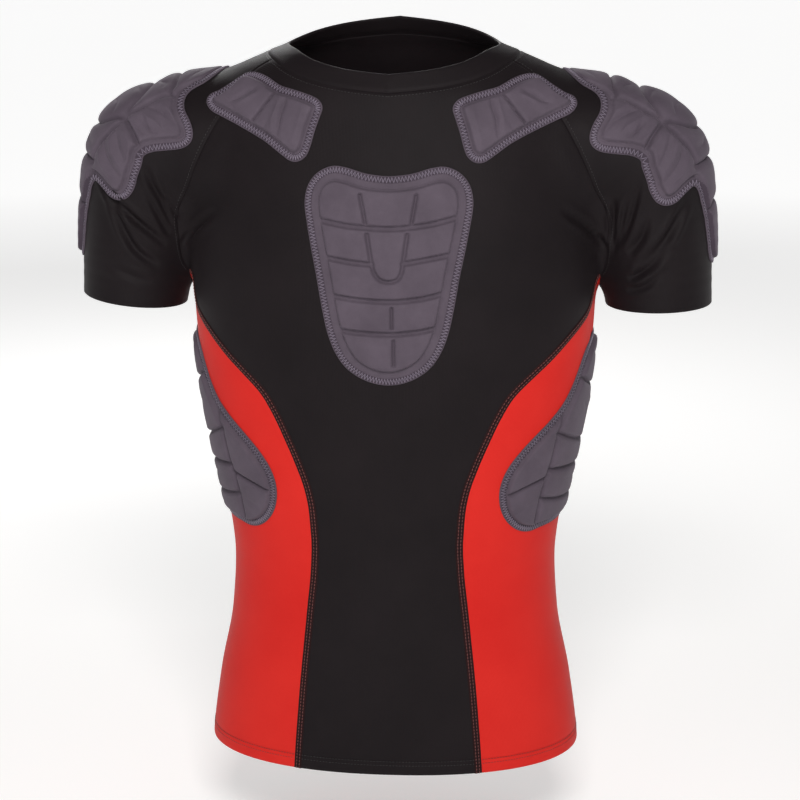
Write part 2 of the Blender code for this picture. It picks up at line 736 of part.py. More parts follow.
def sternum_pad(cloth):
    """The tapering pad on the breastbone, five rows of blocks."""
    lines = len(STERNUM)
    down = stations(lines)
    half_width = read(STERNUM, STERNUM_COLUMNS, "half_width", down)
    end = read(STERNUM, STERNUM_COLUMNS, "end_height", down)
    middle = read(STERNUM, STERNUM_COLUMNS, "middle_height", down)
    half = np.array(STERNUM_HALF_ACROSS)
    share = np.concatenate([-half[:0:-1], half])
    inner = np.maximum(half_width - STERNUM_FLANGE, 0.6 * half_width)
    across = np.concatenate([-half_width[:, None], inner[:, None] * share, half_width[:, None]], axis=1)
    height = middle[:, None] + (end - middle)[:, None] * (across / half_width[:, None]) ** 2
    down_share = block_height(down, lines, STERNUM_ROW_GROOVE)
    place = np.abs(share)
    from_side_groove = np.abs(place - STERNUM_SIDE_GROOVE)
    beside = STERNUM_GROOVE_SIDE + SAME
    rise = np.zeros(across.shape)
    for r, at in enumerate(down):
        row = np.ones(len(share))
        row[place > STERNUM_BLOCK_EDGE - SAME] = BLOCK_SIDE_RISE
        row[place > 1 - SAME] = 0.0
        if at < STERNUM_LAST_SIDE_GROOVE:
            row[from_side_groove < beside] = BLOCK_SIDE_RISE
            row[from_side_groove < SAME] = STERNUM_SHORT_GROOVE
        if at > STERNUM_FIRST_MIDDLE_GROOVE:
            row[place < beside] = BLOCK_SIDE_RISE
            row[place < SAME] = STERNUM_SHORT_GROOVE
        rise[r, 1:-1] = np.minimum(row, down_share[r])
    points = on_front(across.ravel() + STERNUM_CENTRE, height.ravel())
    return pad("sternum_pad", points, STERNUM_BLOCK * rise, 1, cloth)


# Collarbone pad on the wearer's left: both ends of each cross line, from the breast to the shoulder
COLLAR_COLUMNS = ("line", "top_across", "top_depth", "top_height", "low_across", "low_depth", "low_height")
COLLAR = (
    (0.0, 61.5, -91.0, -51.0, 73.0, -103.0, -89.0),
    (1.0, 73.0, -85.0, -41.0, 86.0, -100.0, -98.0),
    (2.0, 99.0, -74.0, -31.0, 119.0, -84.0, -75.0),
    (3.0, 129.0, -49.0, -21.0, 159.0, -63.0, -60.0),
    (4.0, 141.0, -42.0, -25.0, 172.0, -52.0, -50.0),
)
COLLAR_DOWN = (0.0, 0.19, 0.28, 0.5, 0.72, 0.81, 1.0)
COLLAR_RISE = (0.0, 0.0, BLOCK_SIDE_RISE, 1.0, BLOCK_SIDE_RISE, 0.0, 0.0)
COLLAR_GROOVE = 0.15
COLLAR_BLOCK = 6.5


def collarbone_pad(name, side, cloth):
    """The kite-shaped pad below the neckband, two blocks."""
    lines = len(COLLAR)
    out = stations(lines)
    ends = np.stack([read(COLLAR, COLLAR_COLUMNS, key, out) for key in COLLAR_COLUMNS[1:]], axis=1)
    top, low = ends[:, :3], ends[:, 3:]
    down = np.array(COLLAR_DOWN)
    points = top[None] + down[:, None, None] * (low - top)[None]
    rise = np.minimum(np.array(COLLAR_RISE)[:, None], block_height(out, lines, COLLAR_GROOVE)[None, :])
    return pad(name, settle(points.reshape(-1, 3)), COLLAR_BLOCK * rise, side, cloth)


# Shoulder pad: its cross lines from the neck side down the arm. Shares and turns are those of the sleeve's
# fan: on the ridge, at the groove beside the middle blocks, and at the outer edge. The back is the same.
SHOULDER_COLUMNS = ("line", "ridge_share", "groove_share", "groove_turn", "edge_share", "edge_turn")
SHOULDER = (
    (0.0, 0.185, 0.20, 8.0, 0.21, 12.0),
    (1.0, 0.225, 0.24, 14.0, 0.24, 22.0),
    (2.0, 0.34, 0.365, 26.0, 0.335, 48.0),
    (3.0, 0.425, 0.465, 29.5, 0.40, 64.0),
    (4.0, 0.625, 0.53, 31.0, 0.535, 58.5),
    (4.5, 0.675, 0.625, 32.0, 0.655, 67.5),
    (5.0, 0.72, 0.705, 30.0, 0.745, 56.0),
    (5.3, 0.765, 0.765, 26.0, 0.765, 34.0),
    (6.0, 0.845, 0.86, 20.0, 0.87, 28.0),
    (7.0, 1.01, 1.0, 16.0, 1.0, 26.0),
    (8.0, 1.05, 1.04, 11.0, 1.035, 16.0),
)
SHOULDER_LINES = 9
SHOULDER_EXTRA_LINE = 5.3

# Across the pad: 0 is the ridge, 1 the groove beside the middle blocks, 2 the outer edge
ACROSS_COLUMNS = ("across", "rise")
ACROSS = (
    (0.0, 1.0),
    (0.5, 1.0),
    (0.86, BLOCK_SIDE_RISE),
    (1.0, 0.25),
    (1.1, BLOCK_SIDE_RISE),
    (1.4, 1.0),
    (1.65, BLOCK_SIDE_RISE),
    (1.75, 0.0),
    (2.0, 0.0),
)
SHOULDER_LOBES = (2.0, 5.0)
SHOULDER_GROOVE = 0.1
SHOULDER_BLOCK = 6.2


def shoulder_pad(name, side, cloth):
    """The long pad over the shoulder: six blocks down the arm and two lobes at the front and the back."""
    down = np.sort(np.append(stations(SHOULDER_LINES), SHOULDER_EXTRA_LINE))
    half, across_rise = column(ACROSS, ACROSS_COLUMNS, "across"), column(ACROSS, ACROSS_COLUMNS, "rise")
    inner, outer = half <= 1, half - 1
    shares, turns, rises = [], [], []
    down_share = block_height(down, SHOULDER_LINES, SHOULDER_GROOVE)
    for r, at in enumerate(down):
        ridge, groove, turn, edge, edge_turn = (
            float(read(SHOULDER, SHOULDER_COLUMNS, key, at)) for key in SHOULDER_COLUMNS[1:]
        )
        row_share = np.where(inner, ridge + half**2 * (groove - ridge), groove + outer * (edge - groove))
        row_turn = np.where(inner, half * turn, turn + outer * (edge_turn - turn))
        row_rise = np.minimum(across_rise, down_share[r])
        if not SHOULDER_LOBES[0] < at < SHOULDER_LOBES[1]:
            row_rise[half >= 1] = 0.0
        shares.append(np.concatenate([row_share[:0:-1], row_share]))
        turns.append(np.concatenate([row_turn[:0:-1], -row_turn]))
        rises.append(np.concatenate([row_rise[:0:-1], row_rise]))
    points = fan_exit(np.concatenate(shares), np.radians(np.concatenate(turns)), 0.0)
    return pad(name, points, SHOULDER_BLOCK * np.array(rises), side, cloth)


# Rib pad: angles from the front centre of its front edge, long groove and back edge, and heights of each
# cross line at the edges and in the middle
RIB_COLUMNS = ("line", "front_angle", "groove_angle", "back_angle", "end_height", "middle_height")
RIB = (
    (0.0, 82.0, 87.0, 94.0, -268.5, -267.0),
    (1.0, 77.0, 82.5, 101.0, -276.0, -279.0),
    (2.0, 71.5, 77.5, 107.0, -300.0, -319.0),
    (3.0, 59.0, 70.5, 113.0, -349.0, -370.0),
    (4.0, 47.5, 66.0, 118.0, -402.0, -396.0),
    (5.0, 51.5, 67.0, 116.0, -432.0, -441.0),
    (6.0, 61.0, 70.0, 107.0, -447.0, -455.0),
)
RIB_FLANGE = 4.6
RIB_LEAST_FRONT = 0.8
RIB_FRONT_PLACES = (0.0, 0.16, 0.5, 0.84)
RIB_FRONT_RISE = (0.0, BLOCK_SIDE_RISE, 1.0, BLOCK_SIDE_RISE)
RIB_BACK_PLACES = (0.0, 0.1, 0.35, 0.65, 0.9, 1.0)
RIB_BACK_RISE = (0.25, BLOCK_SIDE_RISE, 1.0, 1.0, BLOCK_SIDE_RISE, 0.0)
RIB_GROOVE = 0.2
RIB_BLOCK = 6.4


def rib_pad(name, side, cloth):
    """The leaf-shaped pad round the side of the ribs, blocks on both sides of a long groove."""
    lines = len(RIB)
    down = stations(lines)
    front, groove, back, end, middle = (read(RIB, RIB_COLUMNS, key, down) for key in RIB_COLUMNS[1:])
    rise_across = np.array([0.0, *RIB_FRONT_RISE, *RIB_BACK_RISE, 0.0])
    rise_down = block_height(down, lines, RIB_GROOVE)
    angles, heights, rises = [], [], []
    for r in range(len(down)):
        inner_front = min(front[r] + RIB_FLANGE, groove[r] - RIB_LEAST_FRONT)
        inner_back = back[r] - RIB_FLANGE
        front_block = inner_front + np.array(RIB_FRONT_PLACES) * (groove[r] - inner_front)
        back_block = groove[r] + np.array(RIB_BACK_PLACES) * (inner_back - groove[r])
        row = np.concatenate([[front[r]], front_block, back_block, [back[r]]])
        across = (2 * row - front[r] - back[r]) / (back[r] - front[r])
        angles.append(row)
        heights.append(middle[r] + (end[r] - middle[r]) * across**2)
        rises.append(np.minimum(rise_across, rise_down[r]))
    points = settle(trunk_points(np.concatenate(angles), np.concatenate(heights)))
    return pad(name, points, RIB_BLOCK * np.array(rises), side, cloth)


def main():
    for old in list(bpy.data.objects):
        bpy.data.objects.remove(old, do_unlink=True)
    trunk_panel("front_panel", False, FRONT_COLUMNS)
    trunk_panel("back_panel", True, BACK_COLUMNS)
    side_panel("side_panel_left", 1)
    side_panel("side_panel_right", -1)
    sleeve("sleeve_left", 1, CUFF_SLANT["left"])
    sleeve("sleeve_right", -1, CUFF_SLANT["right"])
    neckband("neckband")
    cloth = solid("pad_cutter", *whole_cloth(PAD_FOOT, 10.0), BLACK_CLOTH, CLOTH_ROUGHNESS)
    cloth.hide_render = True
    cloth.display_type = "WIRE"
    sternum_pad(cloth)
    collarbone_pad("collarbone_pad_left", 1, cloth)
    collarbone_pad("collarbone_pad_right", -1, cloth)
    shoulder_pad("shoulder_pad_left", 1, cloth)
    shoulder_pad("shoulder_pad_right", -1, cloth)
    rib_pad("rib_pad_left", 1, cloth)
    rib_pad("rib_pad_right", -1, cloth)


main()
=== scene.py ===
# %% [markdown]
# # A padded compression shirt
#
# A tight knitted shirt keeps the shape of the wearer, so we model it as if an invisible body stood
# inside it. The black and red panels are thin cloth on that form, and seven quilted foam pads are
# sewn on top. This lesson builds each of them a little finer than the measured model underneath:
# creases, stitching, hems and quilting in real geometry, and the knit of the cloth in the materials.
# All sizes are in millimetres until the very last step, when a mesh is made in metres.

import json

import bpy
import numpy as np
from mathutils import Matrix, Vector
from mathutils.geometry import delaunay_2d_cdt

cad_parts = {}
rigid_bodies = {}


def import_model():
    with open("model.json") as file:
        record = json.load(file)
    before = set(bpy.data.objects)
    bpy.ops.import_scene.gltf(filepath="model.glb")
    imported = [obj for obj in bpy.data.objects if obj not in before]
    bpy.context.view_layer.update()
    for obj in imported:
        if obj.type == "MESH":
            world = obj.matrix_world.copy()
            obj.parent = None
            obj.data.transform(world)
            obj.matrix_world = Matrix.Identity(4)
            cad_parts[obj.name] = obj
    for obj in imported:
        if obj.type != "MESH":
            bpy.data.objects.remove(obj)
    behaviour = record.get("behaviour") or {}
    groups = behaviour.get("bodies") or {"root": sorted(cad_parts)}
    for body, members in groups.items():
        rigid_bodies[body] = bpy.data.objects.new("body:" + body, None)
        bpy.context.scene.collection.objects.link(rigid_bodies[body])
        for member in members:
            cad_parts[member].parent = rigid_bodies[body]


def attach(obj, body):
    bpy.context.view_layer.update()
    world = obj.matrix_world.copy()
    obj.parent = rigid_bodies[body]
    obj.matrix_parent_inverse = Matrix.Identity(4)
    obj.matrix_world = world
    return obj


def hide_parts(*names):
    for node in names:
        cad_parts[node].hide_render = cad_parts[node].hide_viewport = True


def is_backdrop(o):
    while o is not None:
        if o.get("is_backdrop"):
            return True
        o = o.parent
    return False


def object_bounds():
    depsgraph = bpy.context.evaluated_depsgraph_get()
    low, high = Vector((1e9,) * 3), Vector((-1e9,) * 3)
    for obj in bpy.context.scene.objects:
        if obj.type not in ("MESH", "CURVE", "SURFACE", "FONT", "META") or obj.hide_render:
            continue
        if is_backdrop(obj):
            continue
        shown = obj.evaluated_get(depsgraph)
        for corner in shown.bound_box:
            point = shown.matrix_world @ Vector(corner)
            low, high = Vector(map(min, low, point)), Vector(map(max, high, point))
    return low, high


for old in list(bpy.data.objects):
    bpy.data.objects.remove(old, do_unlink=True)
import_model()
cad_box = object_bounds()
MM = 0.001
SIDES = ((1, "left"), (-1, "right"))  # the wearer's
FACES = ((False, "front"), (True, "back"))
print("the model spans", [round(v / MM) for v in cad_box[1] - cad_box[0]], "mm")

# %% [markdown]
# ## The form inside the cloth
#
# Stretch cloth has no shape of its own. One smooth body form does the work of a tailor's dummy:
# level sections for the trunk, a chain of balls for each arm, and a soft join between them. We write
# it as a distance: zero on the skin, negative inside. Any point can then be slid onto the skin, and
# the slope of the distance is the direction in which cloth thickness is added.

# %% The trunk in level sections, and the arm as a chain of balls
TRUNK_COLUMNS = ("height", "half_width", "front", "back", "squareness")
TRUNK = (
    (-740, 187, 108, 120, 2.20),
    (-690, 184, 108, 118, 2.20),
    (-620, 174.5, 107, 109, 2.20),
    (-550, 161, 107, 98, 2.20),
    (-495, 157.5, 108, 93, 2.20),
    (-440, 163, 111, 94, 2.25),
    (-380, 174, 115, 101, 2.30),
    (-320, 183.5, 120, 109, 2.35),
    (-260, 189.5, 125, 115, 2.35),
    (-210, 192, 125, 118, 2.30),
    (-160, 193, 119, 118, 2.20),
    (-110, 194, 109, 115, 2.10),
    (-70, 194, 99, 109, 2.00),
    (-40, 178, 89, 101, 1.95),
    (-22, 152, 79, 94, 1.95),
    (-8, 121, 71, 88, 2.00),
    (2, 97, 66, 82, 2.00),
    (24, 82, 59, 70, 2.00),
    (70, 74, 54, 62, 2.00),
)
ARM = (
    (200, 4, -92, 54), (229, 5, -107, 59), (241, 5, -150, 56), (248, 4, -195, 52.5), (254, 3, -245, 48.5),
    (259, 2, -300, 46.5),
)
ARM_DEPTH_SCALE = 1.12
BLEND = ((-260.0, 15.0), (-222.0, 19.0), (-185.0, 27.0), (-110.0, 46.0), (-40.0, 46.0), (20.0, 30.0))


def curve_through(knots, values, at):
    """A smooth curve through a table's values that never overshoots them (monotone cubic)."""
    knots, values, at = (np.asarray(v, float) for v in (knots, values, at))
    step = np.diff(knots)
    slope = np.diff(values) / step
    tangent = np.empty_like(values)
    before, after = slope[:-1], slope[1:]
    same_way = before * after > 0
    weight_a, weight_b = 2 * step[1:] + step[:-1], step[1:] + 2 * step[:-1]
    safe_before, safe_after = np.where(same_way, before, 1.0), np.where(same_way, after, 1.0)
    mean = (weight_a + weight_b) / (weight_a / safe_before + weight_b / safe_after)
    tangent[1:-1] = np.where(same_way, mean, 0.0)
    tangent[0], tangent[-1] = slope[0], slope[-1]
    at = np.clip(at, knots[0], knots[-1])
    cell = np.clip(np.searchsorted(knots, at, side="right") - 1, 0, len(step) - 1)
    t = (at - knots[cell]) / step[cell]
    hermite = t * t * (3 - 2 * t)
    bend = t * (1 - t) ** 2 * tangent[cell] - t * t * (1 - t) * tangent[cell + 1]
    return values[cell] + hermite * (values[cell + 1] - values[cell]) + step[cell] * bend


def unit(vectors):
    return vectors / np.linalg.norm(vectors, axis=1, keepdims=True)


def walked_along(line):
    """How far along a line of points each of them lies."""
    return np.concatenate([[0.0], np.cumsum(np.linalg.norm(np.diff(line, axis=0), axis=1))])


def table_column(rows, k, at):
    """Column k of a table, read smoothly at values of its first column."""
    rows = np.array(rows, float)
    return curve_through(rows[:, 0], rows[:, k], at)


# %% [markdown]
# The distance is asked for millions of points, so the sections are worked out once, every half
# millimetre of height, and then only looked up. That keeps the whole script quick.

# %% Distance to the form
LEVELS = np.arange(-745.0, 75.0, 0.5)
SECTIONS = {name: table_column(TRUNK, k, LEVELS) for k, name in enumerate(TRUNK_COLUMNS)}
REACHES = table_column(BLEND, 1, LEVELS)
ARM_AT = np.linspace(0, len(ARM) - 1, 4 * (len(ARM) - 1) + 1)
ARM_COLUMNS = np.array(ARM).T
ARM_LINE = np.stack([curve_through(np.arange(len(ARM)), column, ARM_AT) for column in ARM_COLUMNS], axis=1)


def section(name, heights):
    return np.interp(heights, LEVELS, SECTIONS[name])


def trunk_share(x, y, z):
    """1 on the trunk's surface, less inside."""
    power = section("squareness", z)
    depth = np.where(y < 0, section("front", z), section("back", z))
    across = (np.abs(x) / section("half_width", z)) ** power
    return np.maximum((across + (np.abs(y) / depth) ** power) ** (1 / power), 1e-4)


def trunk_reach(points):
    x, y, z = points.T
    return np.hypot(x, y) * (1 - 1 / trunk_share(x, y, z))


def slope_of(function, points, step):
    """The function's value and its slope along each axis."""
    moves = step * np.eye(3)
    slopes = [(function(points + move) - function(points - move)) / (2 * step) for move in moves]
    return function(points), np.stack(slopes, axis=1)


def trunk_distance(points):
    reach, slope = slope_of(trunk_reach, points, 0.5)
    return reach / np.maximum(np.linalg.norm(slope, axis=1), 1.0)


def arm_distance(points):
    """Distance from whichever arm is on the point's side."""
    squeeze = np.array((1, 1 / ARM_DEPTH_SCALE, 1))
    local = points * squeeze
    local[:, 0] = np.abs(local[:, 0])
    centres = ARM_LINE[:, :3] * squeeze
    best = np.full(len(points), np.inf)
    radii = ARM_LINE[:, 3]
    for start, end, r_start, r_end in zip(centres[:-1], centres[1:], radii[:-1], radii[1:]):
        run = end - start
        away = local - start
        t = np.clip(away @ run / (run @ run), 0, 1)
        away -= t[:, None] * run
        gap = np.sqrt(np.einsum("ij,ij->i", away, away))
        best = np.minimum(best, gap - (r_start + t * (r_end - r_start)))
    return best


def form(points):
    """Distance from the body form, negative inside."""
    trunk, arm = trunk_distance(points), arm_distance(points)
    reach = np.interp(points[:, 2], LEVELS, REACHES)
    overlap = np.maximum(reach - np.abs(trunk - arm), 0) / reach
    return np.minimum(trunk, arm) - overlap**2 * reach / 4


def outward(points):
    """The form's unit normal at each point: the way in which thickness is added."""
    return unit(slope_of(form, points, 1.0)[1])


def settle(points, rounds=7):
    """Points slid along the slope until they lie on the form."""
    points = np.array(points, float)
    for _ in range(rounds):
        value, slope = slope_of(form, points, 0.5)
        points -= (value / np.maximum((slope**2).sum(axis=1), 0.3))[:, None] * slope
    return points


def first_exit(start, directions, reach=190.0, steps=48):
    """Where rays from points inside the form first leave it."""
    start = np.broadcast_to(start, directions.shape)
    lengths = np.linspace(2.0, reach, steps)
    points = start[:, None, :] + directions[:, None, :] * lengths[None, :, None]
    value = form(points.reshape(-1, 3)).reshape(len(directions), steps)
    hit = np.argmax(value > 0, axis=1)
    low, high = lengths[np.maximum(hit - 1, 0)], lengths[hit]
    for _ in range(11):
        middle = (low + high) / 2
        inside = form(start + directions * middle[:, None]) < 0
        low, high = np.where(inside, middle, low), np.where(inside, high, middle)
    return start + directions * high[:, None]


chest = form(np.array([[0.0, -127.0, -240.0]]))[0]
print("a point 127 mm in front of the middle of the chest is", round(float(chest), 1), "mm off the form")

# %% [markdown]
# ## Seams
#
# A garment is its seams. Neck, raglan and side seams are curves on the form, kept as short tables
# that were measured from the photograph. Each seam is resampled once, and both panels that meet there
# use the very same points, so no light shows between them.

# %% Tables and curves of the seams
NECK = (
    (0, -37, -22), (40, -29, -15), (66, -17, -4), (90, -7, 3), (125, 0, 14), (180, 6, 24),
)
NECK_SEAM = (117, 90, 80)
NECK_EDGE = (98, 78, 72)
RAGLAN_START, RAGLAN_END = 66, 114.0
RAGLAN_FRONT = (
    (107, -37, -15), (125, -43, -20), (142, -53, -41), (158, -61, -65), (186, -60, -121), (202, -43, -166),
    (201, -30, -198),
)
BACK_DEPTH_SHARE = 1.1
ARMPIT = ((-17, 196.3), (-8, 196.2), (2, 196), (12, 195.8), (21, 195))
SIDE_SEAM = (
    (-690, 43), (-640, 42), (-590, 40.6), (-530, 38.2), (-483, 35.7), (-452, 34.6), (-425, 34.8),
    (-404, 35.9), (-380, 38.6), (-356, 41.8), (-333, 45), (-312, 49), (-298, 53.6), (-281, 60.2), (-262, 68),
    (-245, 77),
)


def along(points, shares):
    """Points at the given shares of the length of a line of points."""
    points = np.asarray(points, float)
    walked = walked_along(points)
    at = np.asarray(shares, float) * walked[-1]
    return np.stack([curve_through(walked, points[:, k], at) for k in range(3)], axis=1)


def neck_line(angles, share):
    """Points round the neck; share 0 is the band's seam and 1 its free edge."""
    angles = np.asarray(angles, float)
    half_width, front, back = (a + share * (b - a) for a, b in zip(NECK_SEAM, NECK_EDGE))
    folded = np.abs((angles + 180) % 360 - 180)
    heights = (1 - share) * table_column(NECK, 1, folded) + share * table_column(NECK, 2, folded)
    turn = np.radians(angles)
    depth = np.where(np.cos(turn) > 0, front, back)
    return settle(np.stack([half_width * np.sin(turn), -depth * np.cos(turn), heights], axis=1))


def trunk_points(angles, heights):
    """Points of the trunk's surface, at angles from the front centre towards the wearer's left."""
    angles, heights = np.broadcast_arrays(np.radians(angles), np.asarray(heights, float))
    x, y = np.sin(angles), -np.cos(angles)
    reach = 1 / trunk_share(x, y, heights)
    return np.stack([x * reach, y * reach, heights], axis=-1)


def armpit_points(depth):
    """Points in the trough under the arm, seen straight from below."""
    start = np.stack([table_column(ARMPIT, 1, depth), depth, np.full_like(depth, -150.0)], axis=1)
    return first_exit(start, np.broadcast_to([0.0, 0.0, -1.0], start.shape))


def raglan_line(back, shares):
    """The seam between trunk and sleeve on the wearer's left, from the armpit up to the neck."""
    start = neck_line([RAGLAN_END if back else RAGLAN_START], 0.0)[0]
    line = np.array(RAGLAN_FRONT[1:], float) * (1, -BACK_DEPTH_SHARE if back else 1, 1)
    armpit = armpit_points(np.array([ARMPIT[-1 if back else 0][0]]))[0]
    line = np.vstack([start, settle(line), armpit])
    points = settle(along(line[::-1], shares))
    points[0], points[-1] = armpit, start
    return points


def side_seam_line(back, armpit, shares):
    """The seam between black and red cloth on the wearer's left, from the hem up to the armpit."""
    heights = np.linspace(-690.0, SIDE_SEAM[-1][0], 60)
    angles = table_column(SIDE_SEAM, 1, heights)
    line = np.vstack([trunk_points(180 - angles if back else angles, heights), armpit])
    points = settle(along(line, shares))
    points[0], points[-1] = line[0], armpit
    return points


# %% [markdown]
# Rows of a panel are close together where something small happens, such as a turned hem or the ditch
# beside a seam, and further apart on open cloth. That saves triangles where the eye sees nothing.

# %% Shares of each seam's length at which the panels have a row
def spaced(count, first=(), last=()):
    """Even steps from 0 to 1, with extra ones near the start and the end."""
    even = np.linspace(0, 1, count + 1)
    low, high = max(first, default=0.0), 1 - max(last, default=0.0)
    inner = even[(even > low + 0.4 / count) & (even < high - 0.4 / count)]
    return np.concatenate([[0.0], first, inner, 1 - np.array(last[::-1]), [1.0]])


HEM_ROWS = (0.0012, 0.003, 0.007, 0.013, 0.0175, 0.0200, 0.0230, 0.0255, 0.0280, 0.031, 0.036, 0.044)
SIDE_SHARES = spaced(104, HEM_ROWS, (0.003, 0.006))
RAGLAN_SHARES = spaced(100, (0.006, 0.014), (0.006, 0.014, 0.022))
EDGE_COLUMNS = (0.002, 0.005, 0.009)
ACROSS_FRONT = spaced(144, EDGE_COLUMNS, EDGE_COLUMNS)
ACROSS_BACK = spaced(130, EDGE_COLUMNS, EDGE_COLUMNS)
ACROSS_SIDE = spaced(48, EDGE_COLUMNS, EDGE_COLUMNS)
ACROSS_SLEEVE = spaced(170, (0.004, 0.009), (0.004, 0.009))

raglan = {back: raglan_line(back, RAGLAN_SHARES) for back in (False, True)}
side_seam = {back: side_seam_line(back, raglan[back][0], SIDE_SHARES) for back in (False, True)}
armpit_seam = armpit_points(ARMPIT[0][0] + ACROSS_SIDE * (ARMPIT[-1][0] - ARMPIT[0][0]))
armpit_seam[0], armpit_seam[-1] = raglan[False][0], raglan[True][0]


def length_of(line):
    return float(np.linalg.norm(np.diff(line, axis=0), axis=1).sum())


for title, line in (("side seam", side_seam[False]), ("raglan seam", raglan[False]), ("armpit", armpit_seam)):
    print(title, round(length_of(line)), "mm,", len(line), "points")

# %% [markdown]
# ## Panels as grids
#
# Each panel is a grid of points between its seams. A guess on plain sections is pulled so that its
# edges meet the seams, and the whole grid is then slid onto the form at once. The sleeve is the hard
# one: its rows fan out from points inside the arm, so that they run cleanly over the round shoulder.

# %% Front and back grids
def trunk_grid(back, shares):
    """Rows of points across the front or back, from its edge on the wearer's left to the other."""
    edge = np.vstack([side_seam[back], raglan[back][1:]])
    reach = RAGLAN_START
    share = 1 - 2 * shares
    top = neck_line(180 - reach * share if back else reach * share, 0.0)
    away = -1.0 if back else 1.0
    walked = walked_along(edge)
    rise = (walked / walked[-1]) ** 3
    edge_angle = np.degrees(np.arctan2(edge[:, 0], -away * edge[:, 1]))
    heights = edge[:, 2:] + rise[:, None] * (top[:, 2] - edge[-1, 2])
    angles = edge_angle[:, None] * share
    guess = trunk_points(180 - angles if back else angles, heights)
    miss = (edge - guess[:, 0])[:, None, :] * np.where(share < 0, -1, 1)[None, :, None] ** np.array([1, 0, 0])
    guess = guess + (np.abs(share) ** 4)[None, :, None] * miss
    grid = settle(guess.reshape(-1, 3)).reshape(guess.shape)
    grid[0] = guess[0]
    grid[:, 0], grid[:, -1] = edge, edge * (-1, 1, 1)
    grid[-1] = top
    return grid


# %% Side grid
def side_grid(shares):
    """Rows of points across the red side panel, from the front seam to the back seam."""
    front, back, top = side_seam[False], side_seam[True], armpit_seam
    ends = [np.degrees(np.arctan2(seam[:, 0], -seam[:, 1]))[:, None] for seam in (front, back)]
    heights = front[:, 2:] + shares * (back[:, 2:] - front[:, 2:])
    guess = trunk_points(ends[0] + shares * (ends[1] - ends[0]), heights)
    across = shares[None, :, None]
    guess = guess + (1 - across) * (front - guess[:, 0])[:, None] + across * (back - guess[:, -1])[:, None]
    near_top = np.clip(1 - (1 - SIDE_SHARES) * 18 / 4, 0, 1)
    dip = top[:, 2] - (top[0, 2] + shares * (top[-1, 2] - top[0, 2]))
    guess[..., 2] += near_top[:, None] * dip
    grid = settle(guess.reshape(-1, 3)).reshape(guess.shape)
    grid[0] = guess[0]
    grid[:, 0], grid[:, -1], grid[-1] = front, back, top
    return grid


# %% Sleeve grid
FAN = (
    (0, 117, -6, 92, -80),
    (0.17, 152, -22, 122, -95),
    (0.34, 200, -38, 160, -112),
    (0.50, 250, -52, 198, -125),
    (0.67, 284, -88, 222, -150),
    (0.84, 298, -140, 237, -180),
    (1, 301, -192, 248, -204),
    (1.16, 302, -222, 251, -232),
)
CUFF_SLANT = {"left": 2.0, "right": 7.0}
CUFF_SHARES = spaced(26, (), (0.02, 0.05, 0.12, 0.22))


def fan_frame(share):
    """The point inside the arm that each row fans out from, and the directions it is measured in."""
    top_x, top_z, in_x, in_z = (table_column(FAN, k, share) for k in (1, 2, 3, 4))
    nil = np.zeros_like(top_x)
    inside = np.stack([in_x, nil, in_z], axis=1)
    up = unit(np.stack([top_x - in_x, nil, top_z - in_z], axis=1))
    front = np.broadcast_to([0.0, -1.0, 0.0], up.shape)
    return inside + (0, 3.0, 0), up, front, np.cross(up, front)


def fan_exit(share, turn, tilt):
    """Points of the form seen from inside the arm: turned from the top to the front, and tilted."""
    share, turn, tilt = (np.array(v, float) for v in np.broadcast_arrays(share, turn, tilt))
    inside, up, front, side = fan_frame(share)
    level = np.cos(turn)[:, None] * up + np.sin(turn)[:, None] * front
    return first_exit(inside, np.cos(tilt)[:, None] * level + np.sin(tilt)[:, None] * side)


def sleeve_over():
    """The rows over the shoulder, from the neck to the armpit, on the wearer's left."""
    shares = 1 - RAGLAN_SHARES[::-1]
    across = 2 * ACROSS_SLEEVE - 1
    inside, up, front, side = fan_frame(shares)
    turns, tilts = [], []
    for back in (False, True):
        aim = unit(raglan[back][::-1] - inside)
        turns.append(np.arctan2((aim * front).sum(axis=1), (aim * up).sum(axis=1)))
        tilts.append(np.arcsin(np.clip((aim * side).sum(axis=1), -1, 1)))
    ahead = across < 0
    turn = np.where(ahead, -across * turns[0][:, None], across * turns[1][:, None])
    tilt = across**2 * np.where(ahead, tilts[0][:, None], tilts[1][:, None])
    row_share = np.broadcast_to(shares[:, None], turn.shape)
    grid = fan_exit(row_share.ravel(), turn.ravel(), tilt.ravel()).reshape(*turn.shape, 3)
    grid[:, 0], grid[:, -1] = raglan[False][::-1], raglan[True][::-1]
    grid[0] = neck_line(90 + (RAGLAN_END - 90) * across, 0.0)
    return grid


def sleeve_rings(start, slant):
    """Closed rings from the armpit down to the cuff, whose plane is slanted."""
    tilt, half_over = np.radians(slant), 0.86 * np.pi
    up, front = np.array([np.cos(tilt), 0.0, np.sin(tilt)]), np.array([0.0, -1.0, 0.0])
    over = half_over * (1 - 2 * ACROSS_SLEEVE)
    under = -half_over - ACROSS_SIDE[1:-1] * (2 * np.pi - 2 * half_over)
    turn = np.concatenate([over, under])[:, None]
    end = first_exit(np.array((254.0, 3.0, -242.0)), np.cos(turn) * up + np.sin(turn) * front)
    rings = start[None] + CUFF_SHARES[1:, None, None] * (end - start)[None]
    count = len(rings)
    rings[:-1] = settle(rings[:-1].reshape(-1, 3)).reshape(count - 1, -1, 3)
    rings[-1] = end
    return rings


front_grid, back_grid = trunk_grid(False, ACROSS_FRONT), trunk_grid(True, ACROSS_BACK)
red_grid, shoulder_grid = side_grid(ACROSS_SIDE), sleeve_over()
print("grids:", front_grid.shape, back_grid.shape, red_grid.shape, shoulder_grid.shape)


